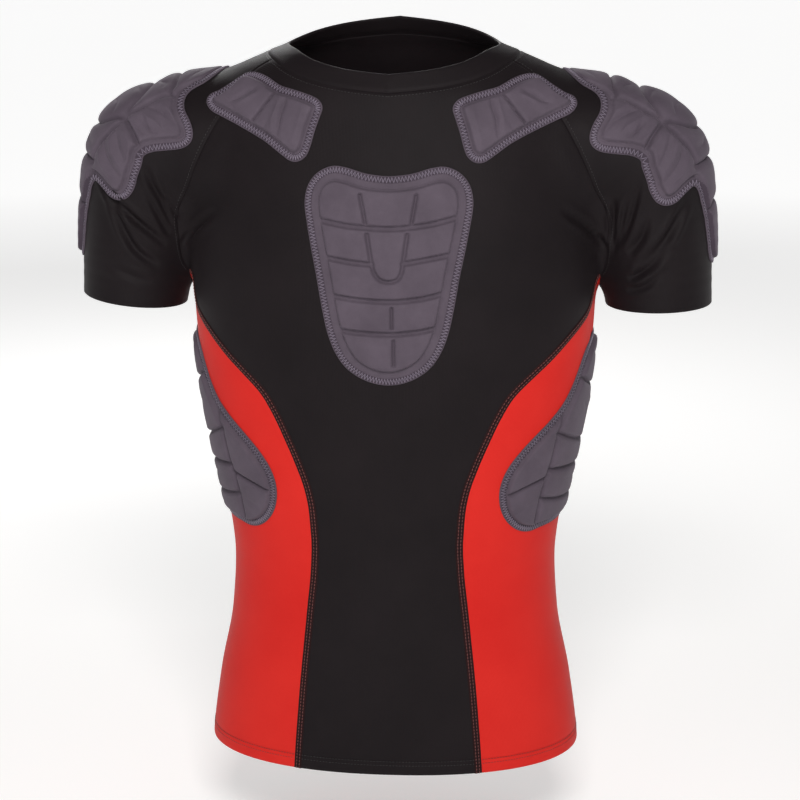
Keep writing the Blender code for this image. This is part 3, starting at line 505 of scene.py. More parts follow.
# %% [markdown]
# ## Creases
#
# Tight cloth still creases where the body bends: folds run out of the armpit like rays, and a few long
# ones cross the chest beside it. Each is a short line on the form with a width and a depth. Near the
# line the cloth sinks into a soft trough, and a low ridge rises on both sides, as it does when cloth is
# pushed together. Every panel, seam and thread asks the same function, so they all sink together.

# %% Distance to a line, and the creases
def near_line(points, line):
    """Each point's distance to a line of points, and how far along the line that is, from 0 to 1."""
    best, where = np.full(len(points), 1e9), np.zeros(len(points))
    walked = walked_along(line)
    steps = np.linalg.norm(np.diff(line, axis=0), axis=1)
    for k, (start, end) in enumerate(zip(line[:-1], line[1:])):
        run = end - start
        away = points - start
        t = np.clip(away @ run / max(run @ run, 1e-9), 0, 1)
        away = away - t[:, None] * run
        gap = np.einsum("ij,ij->i", away, away)
        closer = gap < best
        best[closer] = gap[closer]
        where[closer] = (walked[k] + t[closer] * steps[k]) / walked[-1]
    return np.sqrt(best), where


# Each crease: its width and depth, how early it is deepest (0 at its first point), and its line
CREASES = (
    (2.8, 4.3, 0.62, ((206, -54, -134), (206, -47, -160), (205, -40, -184))),
    (2.5, 3.6, 0.60, ((224, -60, -122), (217, -56, -143), (211, -48, -169), (206, -39, -190))),
    (2.7, 4.3, 0.55, ((229, -62, -117), (224, -59, -140), (219, -54, -159), (210, -44, -184))),
    (3.3, 3.9, 0.60, ((238, -59, -152), (232, -56, -170), (220, -50, -187))),
    (3.6, 5.7, 0.55, (
        (273, -48, -136), (263, -55, -158), (251, -57, -177), (238, -56, -191), (226, -51, -203),
    )),
    (3.3, 5.1, 0.60, ((262, -54, -176), (249, -57, -189), (237, -55, -201), (221, -46, -211))),
    (3.1, 3.0, 0.55, ((248, -57, -205), (236, -53, -217), (220, -43, -222))),
    (3.1, 6.5, 0.70, (
        (158, -76, -141), (168, -66, -150), (180, -54, -160), (192, -42, -173), (201, -34, -186),
    )),
    (7.0, 1.4, 0.50, ((162, -63, -66), (172, -65, -88), (185, -62, -117))),
    (-3.0, 5.7, 0.55, (
        (278, -42, -117), (261, -56, -138), (247, -59, -151), (234, -57, -163), (212, -45, -184),
    )),
    (-3.3, 5.1, 0.60, (
        (266, -52, -129), (258, -56, -150), (250, -57, -170), (240, -57, -187), (220, -46, -204),
    )),
    (-2.8, 4.5, 0.55, ((228, -63, -106), (221, -60, -126), (214, -55, -143), (206, -45, -167))),
    (-2.3, 3.4, 0.60, ((214, -56, -133), (206, -51, -148), (200, -44, -164))),
    (-2.5, 3.1, 0.50, ((228, -60, -130), (219, -55, -151), (209, -46, -175))),
    (-3.4, 2.3, 0.50, ((268, -52, -202), (246, -55, -212), (226, -48, -220))),
    (-3.3, 5.0, 0.70, ((160, -74, -146), (172, -62, -156), (187, -47, -169), (200, -34, -186))),
    (-7.0, 1.2, 0.50, ((160, -62, -66), (172, -65, -90), (186, -62, -119))),
    (3.9, 5.1, 0.62, ((274, 52, -134), (260, 60, -157), (245, 61, -179), (228, 54, -199), (212, 44, -210))),
    (3.4, 4.0, 0.58, ((244, 64, -148), (232, 61, -168), (218, 53, -190))),
    (4.1, 4.5, 0.66, ((150, 86, -138), (168, 74, -150), (186, 56, -166), (200, 38, -190))),
    (-3.7, 4.5, 0.60, ((268, 56, -140), (252, 62, -162), (236, 60, -182), (218, 49, -203))),
    (-3.3, 3.9, 0.56, ((236, 65, -134), (226, 61, -154), (213, 52, -178))),
    (-4.2, 4.3, 0.64, ((146, 88, -142), (166, 75, -154), (184, 57, -169), (199, 38, -191))),
    (4.3, 2.1, 0.50, ((196, -12, -232), (194, -22, -262), (190, -28, -300))),
    (-4.3, 1.9, 0.45, ((196, 8, -236), (194, 20, -268), (190, 30, -312))),
    (9.0, 0.9, 0.50, ((70, 92, -470), (20, 96, -488), (-46, 95, -478))),
    (-8.0, 0.8, 0.50, ((62, 94, -512), (6, 96, -520), (-58, 93, -506))),
)


def prepared(row):
    """One crease, its line slid onto the form; a negative width puts it on the wearer's right."""
    width, depth, deepest, line = row
    line = settle(along(np.array(line, float) * (np.sign(width), 1, 1), np.linspace(0, 1, 14)))
    return abs(width), depth, deepest, line


CREASE_LINES = [prepared(row) for row in CREASES]


def crease_lift(points):
    """How far creases move the cloth in (negative) or out at each point."""
    lift = np.zeros(len(points))
    for width, depth, deepest, line in CREASE_LINES:
        margin = 4.5 * width
        close = ((points > line.min(axis=0) - margin) & (points < line.max(axis=0) + margin)).all(axis=1)
        if not close.any():
            continue
        gap, where = near_line(points[close], line)
        bent = np.where(where < deepest, where / deepest / 2, 0.5 + (where - deepest) / (1 - deepest) / 2)
        strength = depth * np.sin(np.pi * bent) ** 0.8
        trough = np.exp(-((gap / width) ** 1.4))
        ridge = np.exp(-(((gap - 2.0 * width) / (0.9 * width)) ** 2))
        lift[close] += strength * (0.42 * ridge - trough)
    return lift


print(len(CREASE_LINES), "creases, the deepest", max(row[1] for row in CREASE_LINES), "mm")

# %% [markdown]
# ## From grid to cloth
#
# A sheet needs two faces and a rim. The outer face is pushed out along the normal, the inner face
# stays on the form, and the rim closes them, so the mesh is one watertight body. At a free edge the
# cloth is folded in: both faces curve together over the last millimetre and the inside is thicker
# where the hem lies double. At a sewn edge the outer face dips, because the seam pulls it down.

# %% Shell builder
CLOTH = 1.5
HEM_DEPTH = 15.0  # how far the cloth is turned in
HEM_FOLD = 1.1  # and how much thicker that makes it
EDGE_ROUND = 1.3
SEAM_DIP, SEAM_DIP_WIDTH = 0.55, 1.5


def quads_of(rows, columns, first=0, closed=False):
    """Four-cornered faces of a grid of points numbered row by row."""
    r = np.arange(rows - 1)[:, None]
    c = np.arange(columns if closed else columns - 1)[None, :]
    a, b = first + r * columns + c, first + r * columns + (c + 1) % columns
    return np.stack([a, b, b + columns, a + columns], axis=-1).reshape(-1, 4)


def open_edges(faces):
    """Edges that only one face uses, in that face's own direction."""
    a = faces.ravel()
    b = np.roll(faces, -1, axis=1).ravel()
    used = set(zip(a.tolist(), b.tolist()))
    return np.array([edge for edge in used if edge[::-1] not in used])


def facing_out(points, faces, normals):
    corner = points[faces[:, :3]]
    turned = np.cross(corner[:, 1] - corner[:, 0], corner[:, 2] - corner[:, 0])
    return faces if (turned * normals[faces[:, 0]]).sum() > 0 else faces[:, ::-1]


def smooth_step(x):
    x = np.clip(x, 0, 1)
    return x * x * (3 - 2 * x)


def dome(x):
    """A quarter circle: 0 at 0, rising steeply, flat from 1 on."""
    return np.sqrt(1 - (1 - np.clip(x, 0, 1)) ** 2)


def mesh_object(name, points, faces, material, uv=None):
    """A named object from points in millimetres; it rides on the shirt's one body."""
    mesh = bpy.data.meshes.new(name)
    faces = [f for part in faces for f in part.tolist()]
    mesh.from_pydata((np.asarray(points) * MM).tolist(), [], faces)
    mesh.shade_smooth()
    if uv is not None:
        layer = mesh.uv_layers.new(name="cloth_metres")
        corner = np.zeros(len(mesh.loops), int)
        mesh.loops.foreach_get("vertex_index", corner)
        layer.uv.foreach_set("vector", (uv[corner] * MM).astype(np.float32).ravel())
    mesh.materials.append(material)
    made = bpy.data.objects.new(name, mesh)
    bpy.context.scene.collection.objects.link(made)
    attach(made, "root")
    return made


def shell(node, points, quads, uv, free_gap, sewn_gap, material, slot, raised=0.0, pressed=0.0):
    """Cloth with two faces. The gaps are each point's distances to a free and to a sewn edge.

    raised lifts the outer face, and pressed is how deep the stitches of the hem sink into it.
    """
    normals = outward(points)
    quads = facing_out(points, quads, normals)
    crease = crease_lift(points)
    outer = CLOTH + raised + crease - SEAM_DIP * np.exp(-((sewn_gap / SEAM_DIP_WIDTH) ** 2))
    outer -= pressed * np.exp(-(((free_gap - HEM_DEPTH + 1) / 1.3) ** 2))
    inner = crease - HEM_FOLD * (1 - smooth_step((free_gap - HEM_DEPTH) / 1.5))
    middle, half = (outer + inner) / 2, (outer - inner) / 2 * np.maximum(dome(free_gap / EDGE_ROUND), 0.25)
    shell_points = np.vstack([points + lift[:, None] * normals for lift in (middle + half, middle - half)])
    count = len(points)
    rim = open_edges(quads)
    rim_faces = np.stack([rim[:, 1], rim[:, 0], rim[:, 0] + count, rim[:, 1] + count], axis=1)
    faces = [quads, quads[:, ::-1] + count, rim_faces]
    made = mesh_object(node + "_cloth", shell_points, faces, material, np.vstack([uv, uv]))
    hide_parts(node)
    print(made.name, "-", sum(len(part) for part in faces), "faces")
    return made


def grid_uv(grid, middle):
    """Cloth coordinates in millimetres: across from the middle column, and along it."""
    across = np.cumsum(np.linalg.norm(np.diff(grid, axis=1), axis=2), axis=1)
    across = np.concatenate([np.zeros((len(grid), 1)), across], axis=1)
    across -= across[:, middle : middle + 1]
    down = walked_along(grid[:, middle])
    return np.stack([across, np.broadcast_to(down[:, None], across.shape)], axis=-1).reshape(-1, 2)


# %% [markdown]
# ## Materials
#
# A material starts from what the thing is and how its surface was made. One small function adds a
# node, sets its sockets and links it, and every material below is a short chain of such calls. Colours
# are picked as screen hex values, and one function turns them into the linear numbers that light uses.

# %% Colour and node helpers
def linear(hex_colour):
    """A screen colour such as #D92D28 as the linear RGBA that shaders use."""
    channels = np.array([int(hex_colour[k : k + 2], 16) / 255 for k in (1, 3, 5)])
    channels = np.where(channels <= 0.04045, channels / 12.92, ((channels + 0.055) / 1.055) ** 2.4)
    return (*channels.tolist(), 1.0)


def add(tree, kind, settings=None, links=None):
    """Adds a node. Settings name its options or sockets; links feed its sockets from other nodes."""
    made = tree.nodes.new(kind)
    for key, value in (settings or {}).items():
        if isinstance(key, int) or key in made.inputs:
            made.inputs[key].default_value = value
        else:
            setattr(made, key, value)
    for key, source in (links or {}).items():
        tree.links.new(source, made.inputs[key])
    return made


def new_material(name):
    """An empty material and its tree, with only the output node."""
    made = bpy.data.materials.new(name)
    made.use_nodes = True
    made.node_tree.nodes.clear()
    return made, made.node_tree, made.node_tree.nodes.new("ShaderNodeOutputMaterial")


# %% Patterns, tones and surfaces
WAVE_TURN = 20.0  # Blender's wave repeats once every 2 pi / 20 units at scale 1


def noise(tree, place, scale, detail, roughness):
    settings = {"Scale": scale, "Detail": detail, "Roughness": roughness}
    return add(tree, "ShaderNodeTexNoise", settings, {"Vector": place}).outputs["Fac"]


def waves(tree, place, direction, spacing):
    scale = 2 * np.pi / WAVE_TURN / spacing
    settings = {"wave_type": "BANDS", "bands_direction": direction, "Scale": scale}
    return add(tree, "ShaderNodeTexWave", settings, {"Vector": place}).outputs["Fac"]


def layered(tree, over, weight, under):
    """One pattern, weighted, added to another."""
    links = {0: over, 2: under}
    return add(tree, "ShaderNodeMath", {"operation": "MULTIPLY_ADD", 1: weight}, links).outputs["Value"]


def ranged(tree, value, low, high, to_low, to_high):
    settings = {"From Min": low, "From Max": high, "To Min": to_low, "To Max": to_high}
    return add(tree, "ShaderNodeMapRange", settings, {"Value": value}).outputs["Result"]


def tones(tree, colour, lighter, share):
    settings = {"data_type": "RGBA", 6: linear(colour), 7: linear(lighter)}
    return add(tree, "ShaderNodeMix", settings, {0: share}).outputs[2]


def relief(tree, strength, depth, height):
    """Small bumps, up to depth metres, that bend the light."""
    settings = {"Strength": strength, "Distance": depth}
    return add(tree, "ShaderNodeBump", settings, {"Height": height}).outputs["Normal"]


def finished(made, tree, out, settings, links):
    shader = add(tree, "ShaderNodeBsdfPrincipled", settings, links)
    tree.links.new(shader.outputs["BSDF"], out.inputs["Surface"])
    return made


print("the red cloth is", [round(c, 3) for c in linear("#D92D28")], "in linear light")

# %% [markdown]
# ### Knitted polyester jersey
#
# The shirt is a fine, stretchy knit of polyester and elastane. Up close it has columns of small loops;
# from across a room only a soft, dull sheen is left. The real columns are about 0.6 mm apart, too fine
# for this picture, so they are drawn 1.3 mm apart. The pattern follows the cloth's own coordinates in
# metres, not the world's, so the columns run up each panel as they come off the machine. Stretched
# over the body the dye also looks slightly uneven, which a large faint noise gives.

# %% Jersey material
WALE, COURSE = 0.0013, 0.0011  # spacing of the columns and rows of loops


def jersey(name, colour, lighter, roughness, sheen, sheen_tint):
    made, tree, out = new_material(name)
    place = add(tree, "ShaderNodeUVMap", {"uv_map": "cloth_metres"}).outputs["UV"]
    columns_rows = {0: waves(tree, place, "X", WALE), 1: waves(tree, place, "Y", COURSE)}
    loops = add(tree, "ShaderNodeMath", {"operation": "MULTIPLY"}, columns_rows).outputs["Value"]
    cloud, fleck = noise(tree, place, 9.0, 4.0, 0.6), noise(tree, place, 420.0, 2.0, 0.7)
    grain = layered(tree, fleck, 0.45, ranged(tree, cloud, 0.3, 0.7, 0.0, 0.8))
    bump = relief(tree, 0.35, 0.00035, layered(tree, fleck, 0.5, loops))
    settings = {
        "Roughness": roughness,
        "IOR": 1.47,
        "Specular IOR Level": 0.1,
        "Sheen Weight": sheen,
        "Sheen Roughness": 0.45,
        "Sheen Tint": linear(sheen_tint),
    }
    links = {"Base Color": tones(tree, colour, lighter, grain), "Normal": bump}
    return finished(made, tree, out, settings, links)


black_jersey = jersey("black_polyester_jersey", "#110D0F", "#191416", 0.55, 0.03, "#B8A9AE")
red_jersey = jersey("red_polyester_jersey", "#B81A16", "#C5261F", 0.55, 0.04, "#FF9A90")
print("jersey drawn with", round(WALE * 1000, 1), "mm columns")

# %% [markdown]
# ### Pad cover
#
# The pads are closed-cell foam under a brushed polyester cloth, moulded hot so that the channels
# between the blocks stay pressed in. Brushing leaves short fibres: a dull, dusty surface that looks
# lighter where it turns away from the eye, which is what sheen is for. The fibre grain is about
# 0.3 mm and is drawn at 0.8 mm; a broad mottling comes from the hot press.

# %% Pad cover material
def brushed_cover(name, colour, lighter):
    made, tree, out = new_material(name)
    place = add(tree, "ShaderNodeTexCoord").outputs["Object"]
    grain, mottle = noise(tree, place, 1250.0, 3.0, 0.75), noise(tree, place, 34.0, 5.0, 0.62)
    mixed = layered(tree, grain, 0.45, mottle)
    tone = tones(tree, colour, lighter, ranged(tree, mixed, 0.45, 0.98, 0.0, 1.0))
    settings = {
        "Roughness": 0.74,
        "IOR": 1.45,
        "Specular IOR Level": 0.2,
        "Sheen Weight": 0.1,
        "Sheen Roughness": 0.5,
        "Sheen Tint": linear("#CFC4D2"),
    }
    links = {"Base Color": tone, "Normal": relief(tree, 0.4, 0.0004, mixed)}
    return finished(made, tree, out, settings, links)


pad_cover = brushed_cover("brushed_polyester_pad_cover", "#433B44", "#524953")
# The second cover is darker for the needle holes of the zigzag and for painted shade between its threads; it
# goes on the sewn band of each pad.
holes_and_painted_shade_cover = brushed_cover("pad_cover_needle_holes_and_painted_shade", "#322A33", "#3F3640")
print("pad cover ready")

# %% [markdown]
# ### Sewing thread
#
# Thread is twisted polyester filament, a little shinier than the cloth. Each stitch is its own small
# piece of geometry, so its material only needs the twist, a fine slanted wave through the object. The
# tape of the flatlock seams is a mat of such threads, and the jersey's pattern serves for it.

# %% Thread materials
TWIST = 0.0006


def spun_thread(name, colour, lighter):
    made, tree, out = new_material(name)
    place = add(tree, "ShaderNodeTexCoord").outputs["Object"]
    twist = waves(tree, place, "DIAGONAL", TWIST)
    links = {"Base Color": tones(tree, colour, lighter, twist), "Normal": relief(tree, 0.3, 0.0002, twist)}
    return finished(made, tree, out, {"Roughness": 0.5, "IOR": 1.5, "Sheen Weight": 0.1}, links)


black_thread = spun_thread("black_polyester_thread", "#0E0B0C", "#1A1617")
pale_thread = spun_thread("pale_grey_polyester_thread", "#61576A", "#786E7A")
red_thread = spun_thread("dark_red_polyester_thread", "#4C0B0A", "#721512")
brown_thread = spun_thread("red_brown_polyester_thread", "#54201D", "#76332C")
seam_tape = jersey("maroon_flatlock_seam", "#180B0C", "#241112", 0.6, 0.04, "#C08080")
print("threads:", [m.name for m in (black_thread, pale_thread, red_thread, brown_thread)])

# %% [markdown]
# ## The cloth panels
#
# Now the grids become cloth. Each panel needs to know how far every point is from its free edge (hem,
# cuff or neck) and from its sewn edges; the shell builder does the rest. All of this cloth is held
# stretched by the body, and the size that it was cut to is printed.

# %% Gaps to edges
FAR = 1e3
hem_level = -690.0


def seam_gap_of(points, *lines):
    return np.min([near_line(points, line)[0] for line in lines], axis=0)


def flat_size(grid):
    """Width and length of the rectangle that a panel is cut from, in metres."""
    widths = np.linalg.norm(np.diff(grid, axis=1), axis=2).sum(axis=1)
    lengths = np.linalg.norm(np.diff(grid, axis=0), axis=2).sum(axis=0)
    return widths.max() * MM, lengths.max() * MM


def area_of(points, quads):
    a, b, c, d = (points[quads[:, k]] for k in range(4))
    return float(np.linalg.norm(np.cross(c - a, d - b), axis=1).sum() / 2) * MM * MM


def declare(made, flat, area):
    width, length = (round(v, 3) for v in flat)
    print(made.name, "is cut from", width, "x", length, "m, area", round(area, 4))


# %% Front, back and side panels
NECK_SEAM_LINE = neck_line(np.linspace(0, 360, 181), 0.0)
BLACK_CLOTH, RED_CLOTH = (black_jersey, "black_jersey"), (red_jersey, "red_jersey")


def body_panel(name, grid, seams, cloth, pressed):
    """A panel that runs up from the hem: its other edges are sewn along the seams."""
    points = grid.reshape(-1, 3)
    rows, columns = grid.shape[:2]
    quads = quads_of(rows, columns)
    uv = grid_uv(grid, columns // 2)
    to_hem, to_seam = points[:, 2] - hem_level, seam_gap_of(points, *seams)
    made = shell(name, points, quads, uv, to_hem, to_seam, *cloth, pressed=pressed)
    declare(made, flat_size(grid), area_of(points, quads))


for grid, (back, word) in zip((front_grid, back_grid), FACES):
    left = raglan[back]
    body_panel(f"{word}_panel", grid, (left, left * (-1, 1, 1), NECK_SEAM_LINE), BLACK_CLOTH, 0.4)
for side, word in SIDES:
    mirror = (side, 1, 1)
    body_panel(f"side_panel_{word}", red_grid * mirror, (armpit_seam * mirror,), RED_CLOTH, 0.6)

# %% Sleeves
def sleeve(name, mirror, slant):
    """The raglan sleeve: open rows over the shoulder, then closed rings down to the cuff."""
    rows, width = shoulder_grid.shape[:2]
    under = armpit_seam[::-1][1:-1]
    start = np.vstack([shoulder_grid[-1], under])
    rings = sleeve_rings(start, slant)
    points = np.vstack([shoulder_grid.reshape(-1, 3), under, rings.reshape(-1, 3)]) * mirror
    tube = quads_of(1 + len(rings), len(start), (rows - 1) * width, closed=True)
    quads = np.vstack([quads_of(rows, width), tube])
    to_cuff = np.linalg.norm(rings[-1] - start, axis=1) * (1 - CUFF_SHARES[1:, None])
    free = np.concatenate([np.full(len(points) - rings.size // 3, FAR), to_cuff.ravel()])
    seams = (raglan[False] * mirror, raglan[True] * mirror, armpit_seam * mirror, NECK_SEAM_LINE)
    # Cloth coordinates: over the arm from its middle column, and on round the underarm from there
    middle = width // 2
    over = np.concatenate([shoulder_grid, rings[:, :width]])
    uv_over = grid_uv(over, middle).reshape(len(over), width, 2)
    closed_rows = np.concatenate([start[None], rings])
    steps = np.linalg.norm(np.diff(closed_rows[:, width - 1 :], axis=1), axis=2)
    beyond = uv_over[rows - 1 :, -1:, 0] + np.cumsum(steps, axis=1)
    uv_under = np.stack([beyond, np.broadcast_to(uv_over[rows - 1 :, :1, 1], beyond.shape)], axis=-1)
    uv_rings = np.concatenate([uv_over[rows:], uv_under[1:]], axis=1)
    uv = np.vstack([uv_over[:rows].reshape(-1, 2), uv_under[0], uv_rings.reshape(-1, 2)])
    made = shell(name, points, quads, uv, free, seam_gap_of(points, *seams), *BLACK_CLOTH)
    girth, cut_length = length_of(np.vstack([start, start[:1]])) * MM, length_of(over[:, middle]) * MM
    declare(made, (girth, cut_length), area_of(points, quads))


for side, word in SIDES:
    sleeve(f"sleeve_{word}", (side, 1, 1), CUFF_SLANT[word])

# %% [markdown]
# ### Neckband
#
# The neck is finished with a doubled strip about 21 mm wide, sewn on along its lower edge and folded
# at the top. Doubled cloth is springier, so it stands a little proud of the panels around it.

# %% Neckband
BAND_SHARES = np.array([0.0, 0.04, 0.1, 0.2, 0.33, 0.46, 0.59, 0.72, 0.82, 0.89, 0.94, 0.975, 1.0])
BAND_ANGLES = np.linspace(0, 360, 257)[:-1]
band_grid = np.array([neck_line(BAND_ANGLES, share) for share in BAND_SHARES])


def neckband():
    points = band_grid.reshape(-1, 3)
    quads = quads_of(len(BAND_SHARES), len(BAND_ANGLES), closed=True)
    width = np.linalg.norm(band_grid[-1] - band_grid[0], axis=1)
    free = ((1 - BAND_SHARES)[:, None] * width).ravel()
    sewn = (BAND_SHARES[:, None] * width).ravel()
    closed = np.concatenate([band_grid, band_grid[:, :1]], axis=1)
    uv = grid_uv(closed, 0).reshape(len(BAND_SHARES), -1, 2)[:, :-1].reshape(-1, 2)
    raised = 0.7 * smooth_step(sewn / 2.0)
    made = shell("neckband", points, quads, uv, free, sewn, *BLACK_CLOTH, raised)
    declare(made, flat_size(closed), area_of(points, quads))


neckband()

# %% [markdown]
# ## Stitches
#
# A stitch is a short arch of thread between two needle holes. We make one small six-sided spindle and
# copy it along a line; a whole seam becomes a single mesh. Straight stitches follow a seam, and a
# zigzag jumps from side to side over the edge of a pad.

# %% Stitch builder
SPINDLE_SIDES = 6
SPINDLE_RINGS = ((0.16, 0.72, 0.35), (0.5, 1.0, 0.75), (0.84, 0.72, 0.35))  # along, thickness, arch


def stitches(name, starts, ends, normals, radius, material):
    """One spindle of thread from each start to each end, arched away from the cloth."""
    run = ends - starts
    ahead = unit(run)
    side = unit(np.cross(normals, ahead))
    up = np.cross(ahead, side)
    points = [starts]
    turn = 2 * np.pi * np.arange(SPINDLE_SIDES) / SPINDLE_SIDES
    for share, thick, arch in SPINDLE_RINGS:
        middle = starts + share * run + arch * radius * up
        for angle in turn:
            points.append(middle + radius * thick * (np.cos(angle) * side + np.sin(angle) * up))
    points.append(ends)
    template = []
    last = 1 + SPINDLE_SIDES * len(SPINDLE_RINGS)
    for k in range(SPINDLE_SIDES):
        following = (k + 1) % SPINDLE_SIDES
        template.append((0, 1 + following, 1 + k))
        for ring in range(len(SPINDLE_RINGS) - 1):
            a, b = 1 + ring * SPINDLE_SIDES + k, 1 + ring * SPINDLE_SIDES + following
            template += [(a, b, b + SPINDLE_SIDES), (a, b + SPINDLE_SIDES, a + SPINDLE_SIDES)]
        end_ring = last - SPINDLE_SIDES
        template.append((last, end_ring + k, end_ring + following))
    each = last + 1
    stacked = np.stack(points, axis=1).reshape(-1, 3)
    faces = (np.array(template)[None] + each * np.arange(len(starts))[:, None, None]).reshape(-1, 3)
    print(name, "-", len(starts), "stitches")
    mesh_object(name, stacked, [faces], material)


def beside(line, away, closed=False):
    """A line moved sideways over the form, and its normals. Positive is to the right, seen from outside."""
    if closed:
        ahead = np.roll(line, -1, axis=0) - np.roll(line, 1, axis=0)
    else:
        ahead = np.gradient(line, axis=0)
    side = unit(np.cross(ahead, outward(line)))
    moved = settle(line + away * side, rounds=3)
    return moved, outward(moved)


def even_line(line, step):
    count = max(2, int(round(length_of(line) / step)))
    return along(line, np.linspace(0, 1, count + 1))


def running_stitch(name, line, away, length, gap, radius, material, slot, lift=0.0):
    """A row of straight stitches beside a line on the cloth."""
    holes, normals = beside(even_line(line, (length + gap) / 2), away)
    holes += (CLOTH + lift + crease_lift(holes))[:, None] * normals
    starts, ends = holes[:-1:2], holes[1::2]
    count = min(len(starts), len(ends))
    middle = (starts[:count] + ends[:count]) / 2
    half = (ends[:count] - starts[:count]) * (length / (length + gap))
    stitches(name, middle - half, middle + half, normals[:-1:2][:count], radius, material)


# %% [markdown]
# ### Flatlock seams
#
# Black meets red in a flatlock seam: the two edges are laid side by side and a machine covers the join
# with a flat band of threads. In the photograph it is a dark maroon band about 6 mm wide on the black
# side, with red-brown needle threads in it. We lay a low rounded band over the cloth and sew two rows
# of stitches along it.

# %% Flatlock bands
BAND_PROFILE = (  # how far from the seam, and how high over the cloth
    (-0.9, 0.05), (-0.3, 0.45), (0.7, 0.62), (1.8, 0.5), (2.9, 0.66), (4.0, 0.5), (5.1, 0.62), (5.9, 0.4),
    (6.4, 0.03),
)
BAND_STEP = 2.2
BAND_SUNK = 0.35  # how deep its underside lies in the cloth
# Stitches: length, gap, radius, material, slot, height over the cloth
FLATLOCK_THREAD = (2.6, 0.8, 0.42, brown_thread, "black_jersey", 0.55)


def flatlock(name, line, side):
    """A raised band beside a seam; side says on which side of the line the black cloth is."""
    line = even_line(line, BAND_STEP)
    rows, low = [], []
    for away, height in BAND_PROFILE:
        moved, normals = beside(line, side * away)
        crease = crease_lift(moved)[:, None]
        rows.append(moved + (CLOTH + height + crease) * normals)
        low.append(moved + (CLOTH - BAND_SUNK + crease) * normals)
    top, bottom = np.array(rows), np.array([low[0], low[-1]])
    count = len(line)
    quads = quads_of(len(top), count)
    points = np.vstack([top.reshape(-1, 3), bottom.reshape(-1, 3)])
    first = len(top) * count
    under = quads_of(2, count, first)[:, ::-1]
    step = np.arange(count - 1)
    near = np.stack([step + 1, step, step + first, step + 1 + first], axis=1)
    end = (len(top) - 1) * count
    far = np.stack([step + end, step + 1 + end, step + 1 + first + count, step + first + count], axis=1)
    caps = []
    for at in (0, count - 1):
        ring = [k * count + at for k in range(len(top))] + [first + count + at, first + at]
        caps.append(np.array([ring if at else ring[::-1]]))
    faces = [quads, under, near, far] + caps
    if side < 0:
        faces = [part[:, ::-1] for part in faces]
    across = np.array([away for away, _ in BAND_PROFILE])
    walked = np.linspace(0, length_of(line), count)
    uv_top = np.stack(np.broadcast_arrays(across[:, None], walked[None]), axis=-1).reshape(-1, 2)
    uv_low = np.stack(np.broadcast_arrays(across[[0, -1], None], walked[None]), axis=-1).reshape(-1, 2)
    mesh_object(name, points, faces, seam_tape, np.vstack([uv_top, uv_low]))


# The side seam runs up from the hem. Seen from outside, black lies to its left at the front of the
# wearer's left, so the sign changes with the front and back and with the side of the wearer.
for side, word in SIDES:
    for back, place in FACES:
        seam = side_seam[back][1:-1] * (side, 1, 1)
        black_side = side if back else -side
        flatlock(f"flatlock_{place}_{word}", seam, black_side)
        for row, away in enumerate((1.6, 4.4)):
            name = f"flatlock_thread_{place}_{word}_{row + 1}"
            running_stitch(name, seam, black_side * away, *FLATLOCK_THREAD)

# %% [markdown]
# ### Hem and raglan stitching
#
# The hem is folded up once and held by a twin needle: two rows of small stitches about 10 and 14 mm
# above the edge, red thread on red cloth and black on black. The raglan and neck seams are sewn from
# the inside, so they show only as a ditch, and a single row keeps them flat.

# %% Hem stitches
HEM_SEAM, BLACK_END, RED_END = 43.0, 2.6, 0.6  # degrees: the side seam, and where the rows stop beside it
HEM_RUNS = {
    "front": (-HEM_SEAM + BLACK_END, HEM_SEAM - BLACK_END),
    "back": (180 - HEM_SEAM + BLACK_END, 180 + HEM_SEAM - BLACK_END),
    "left": (HEM_SEAM + RED_END, 180 - HEM_SEAM - RED_END),
    "right": (180 + HEM_SEAM + RED_END, 360 - HEM_SEAM - RED_END),
}
BLACK_HEM_THREAD = (2.2, 0.9, 0.3, black_thread, "black_jersey", -0.1)
RED_HEM_THREAD = (2.2, 0.7, 0.36, red_thread, "red_jersey", -0.15)
for row, above in enumerate((10.2, 14.2)):
    for part, ends in HEM_RUNS.items():
        line = settle(trunk_points(np.linspace(*ends, 90), np.full(90, hem_level + above)))
        thread = RED_HEM_THREAD if part in ("left", "right") else BLACK_HEM_THREAD
        running_stitch(f"hem_stitches_{part}_{row + 1}", line, 0.0, *thread)

# %% Raglan and neck stitches
SEAM_THREAD = (2.2, 0.9, 0.26, black_thread, "black_jersey", -0.12)
for side, word in SIDES:
    for back, place in FACES:
        line = raglan[back][3:-2] * (side, 1, 1)
        off_sleeve = -side if back else side
        running_stitch(f"raglan_stitches_{place}_{word}", line, off_sleeve * 3.2, *SEAM_THREAD)
running_stitch("neck_stitches", NECK_SEAM_LINE, 3.0, *SEAM_THREAD)


# %% [markdown]
# ## Quilted pads
#
# Each pad is foam, moulded hot into blocks with pressed channels between them, with a flat flange round
# it that is sewn to the shirt with a wide zigzag. We draw its outline and channels in a flat chart, fill
# the outline with a fine net of triangles, lay the net on the form, and let one rule set the height:
# full inside a block, falling in a quarter circle to the flange and to every channel. The shape comes
# from distances to lines on the form, so channels keep their width over the round shoulder. Where the
# cover is pinched into facets, a fold lowers or raises it along a line, sharp at the line itself.

# %% Outline, net and heights
PAD_FOOT = CLOTH + 0.1  # height of a pad's underside over the form
FLANGE = 1.6
STITCHED_FROM, STITCHED_TO = 0.9, 6.6  # the sewn band, from the edge of the flange
STITCH_PRESS = 0.35
FOOT_CREASE = 0.9  # how deep the line between flange and blocks is pinched
CHANNEL_PRESS, CHANNEL_LINE = 1.2, 1.2  # depth and width of the line in the floor of a narrow channel
CHANNEL_REACH = 26.0
SWELL_REACH = 8.0  # how far inside a block its crown has risen most of the way
ZIGZAG_STEP, ZIGZAG_RADIUS = 1.5, 0.34


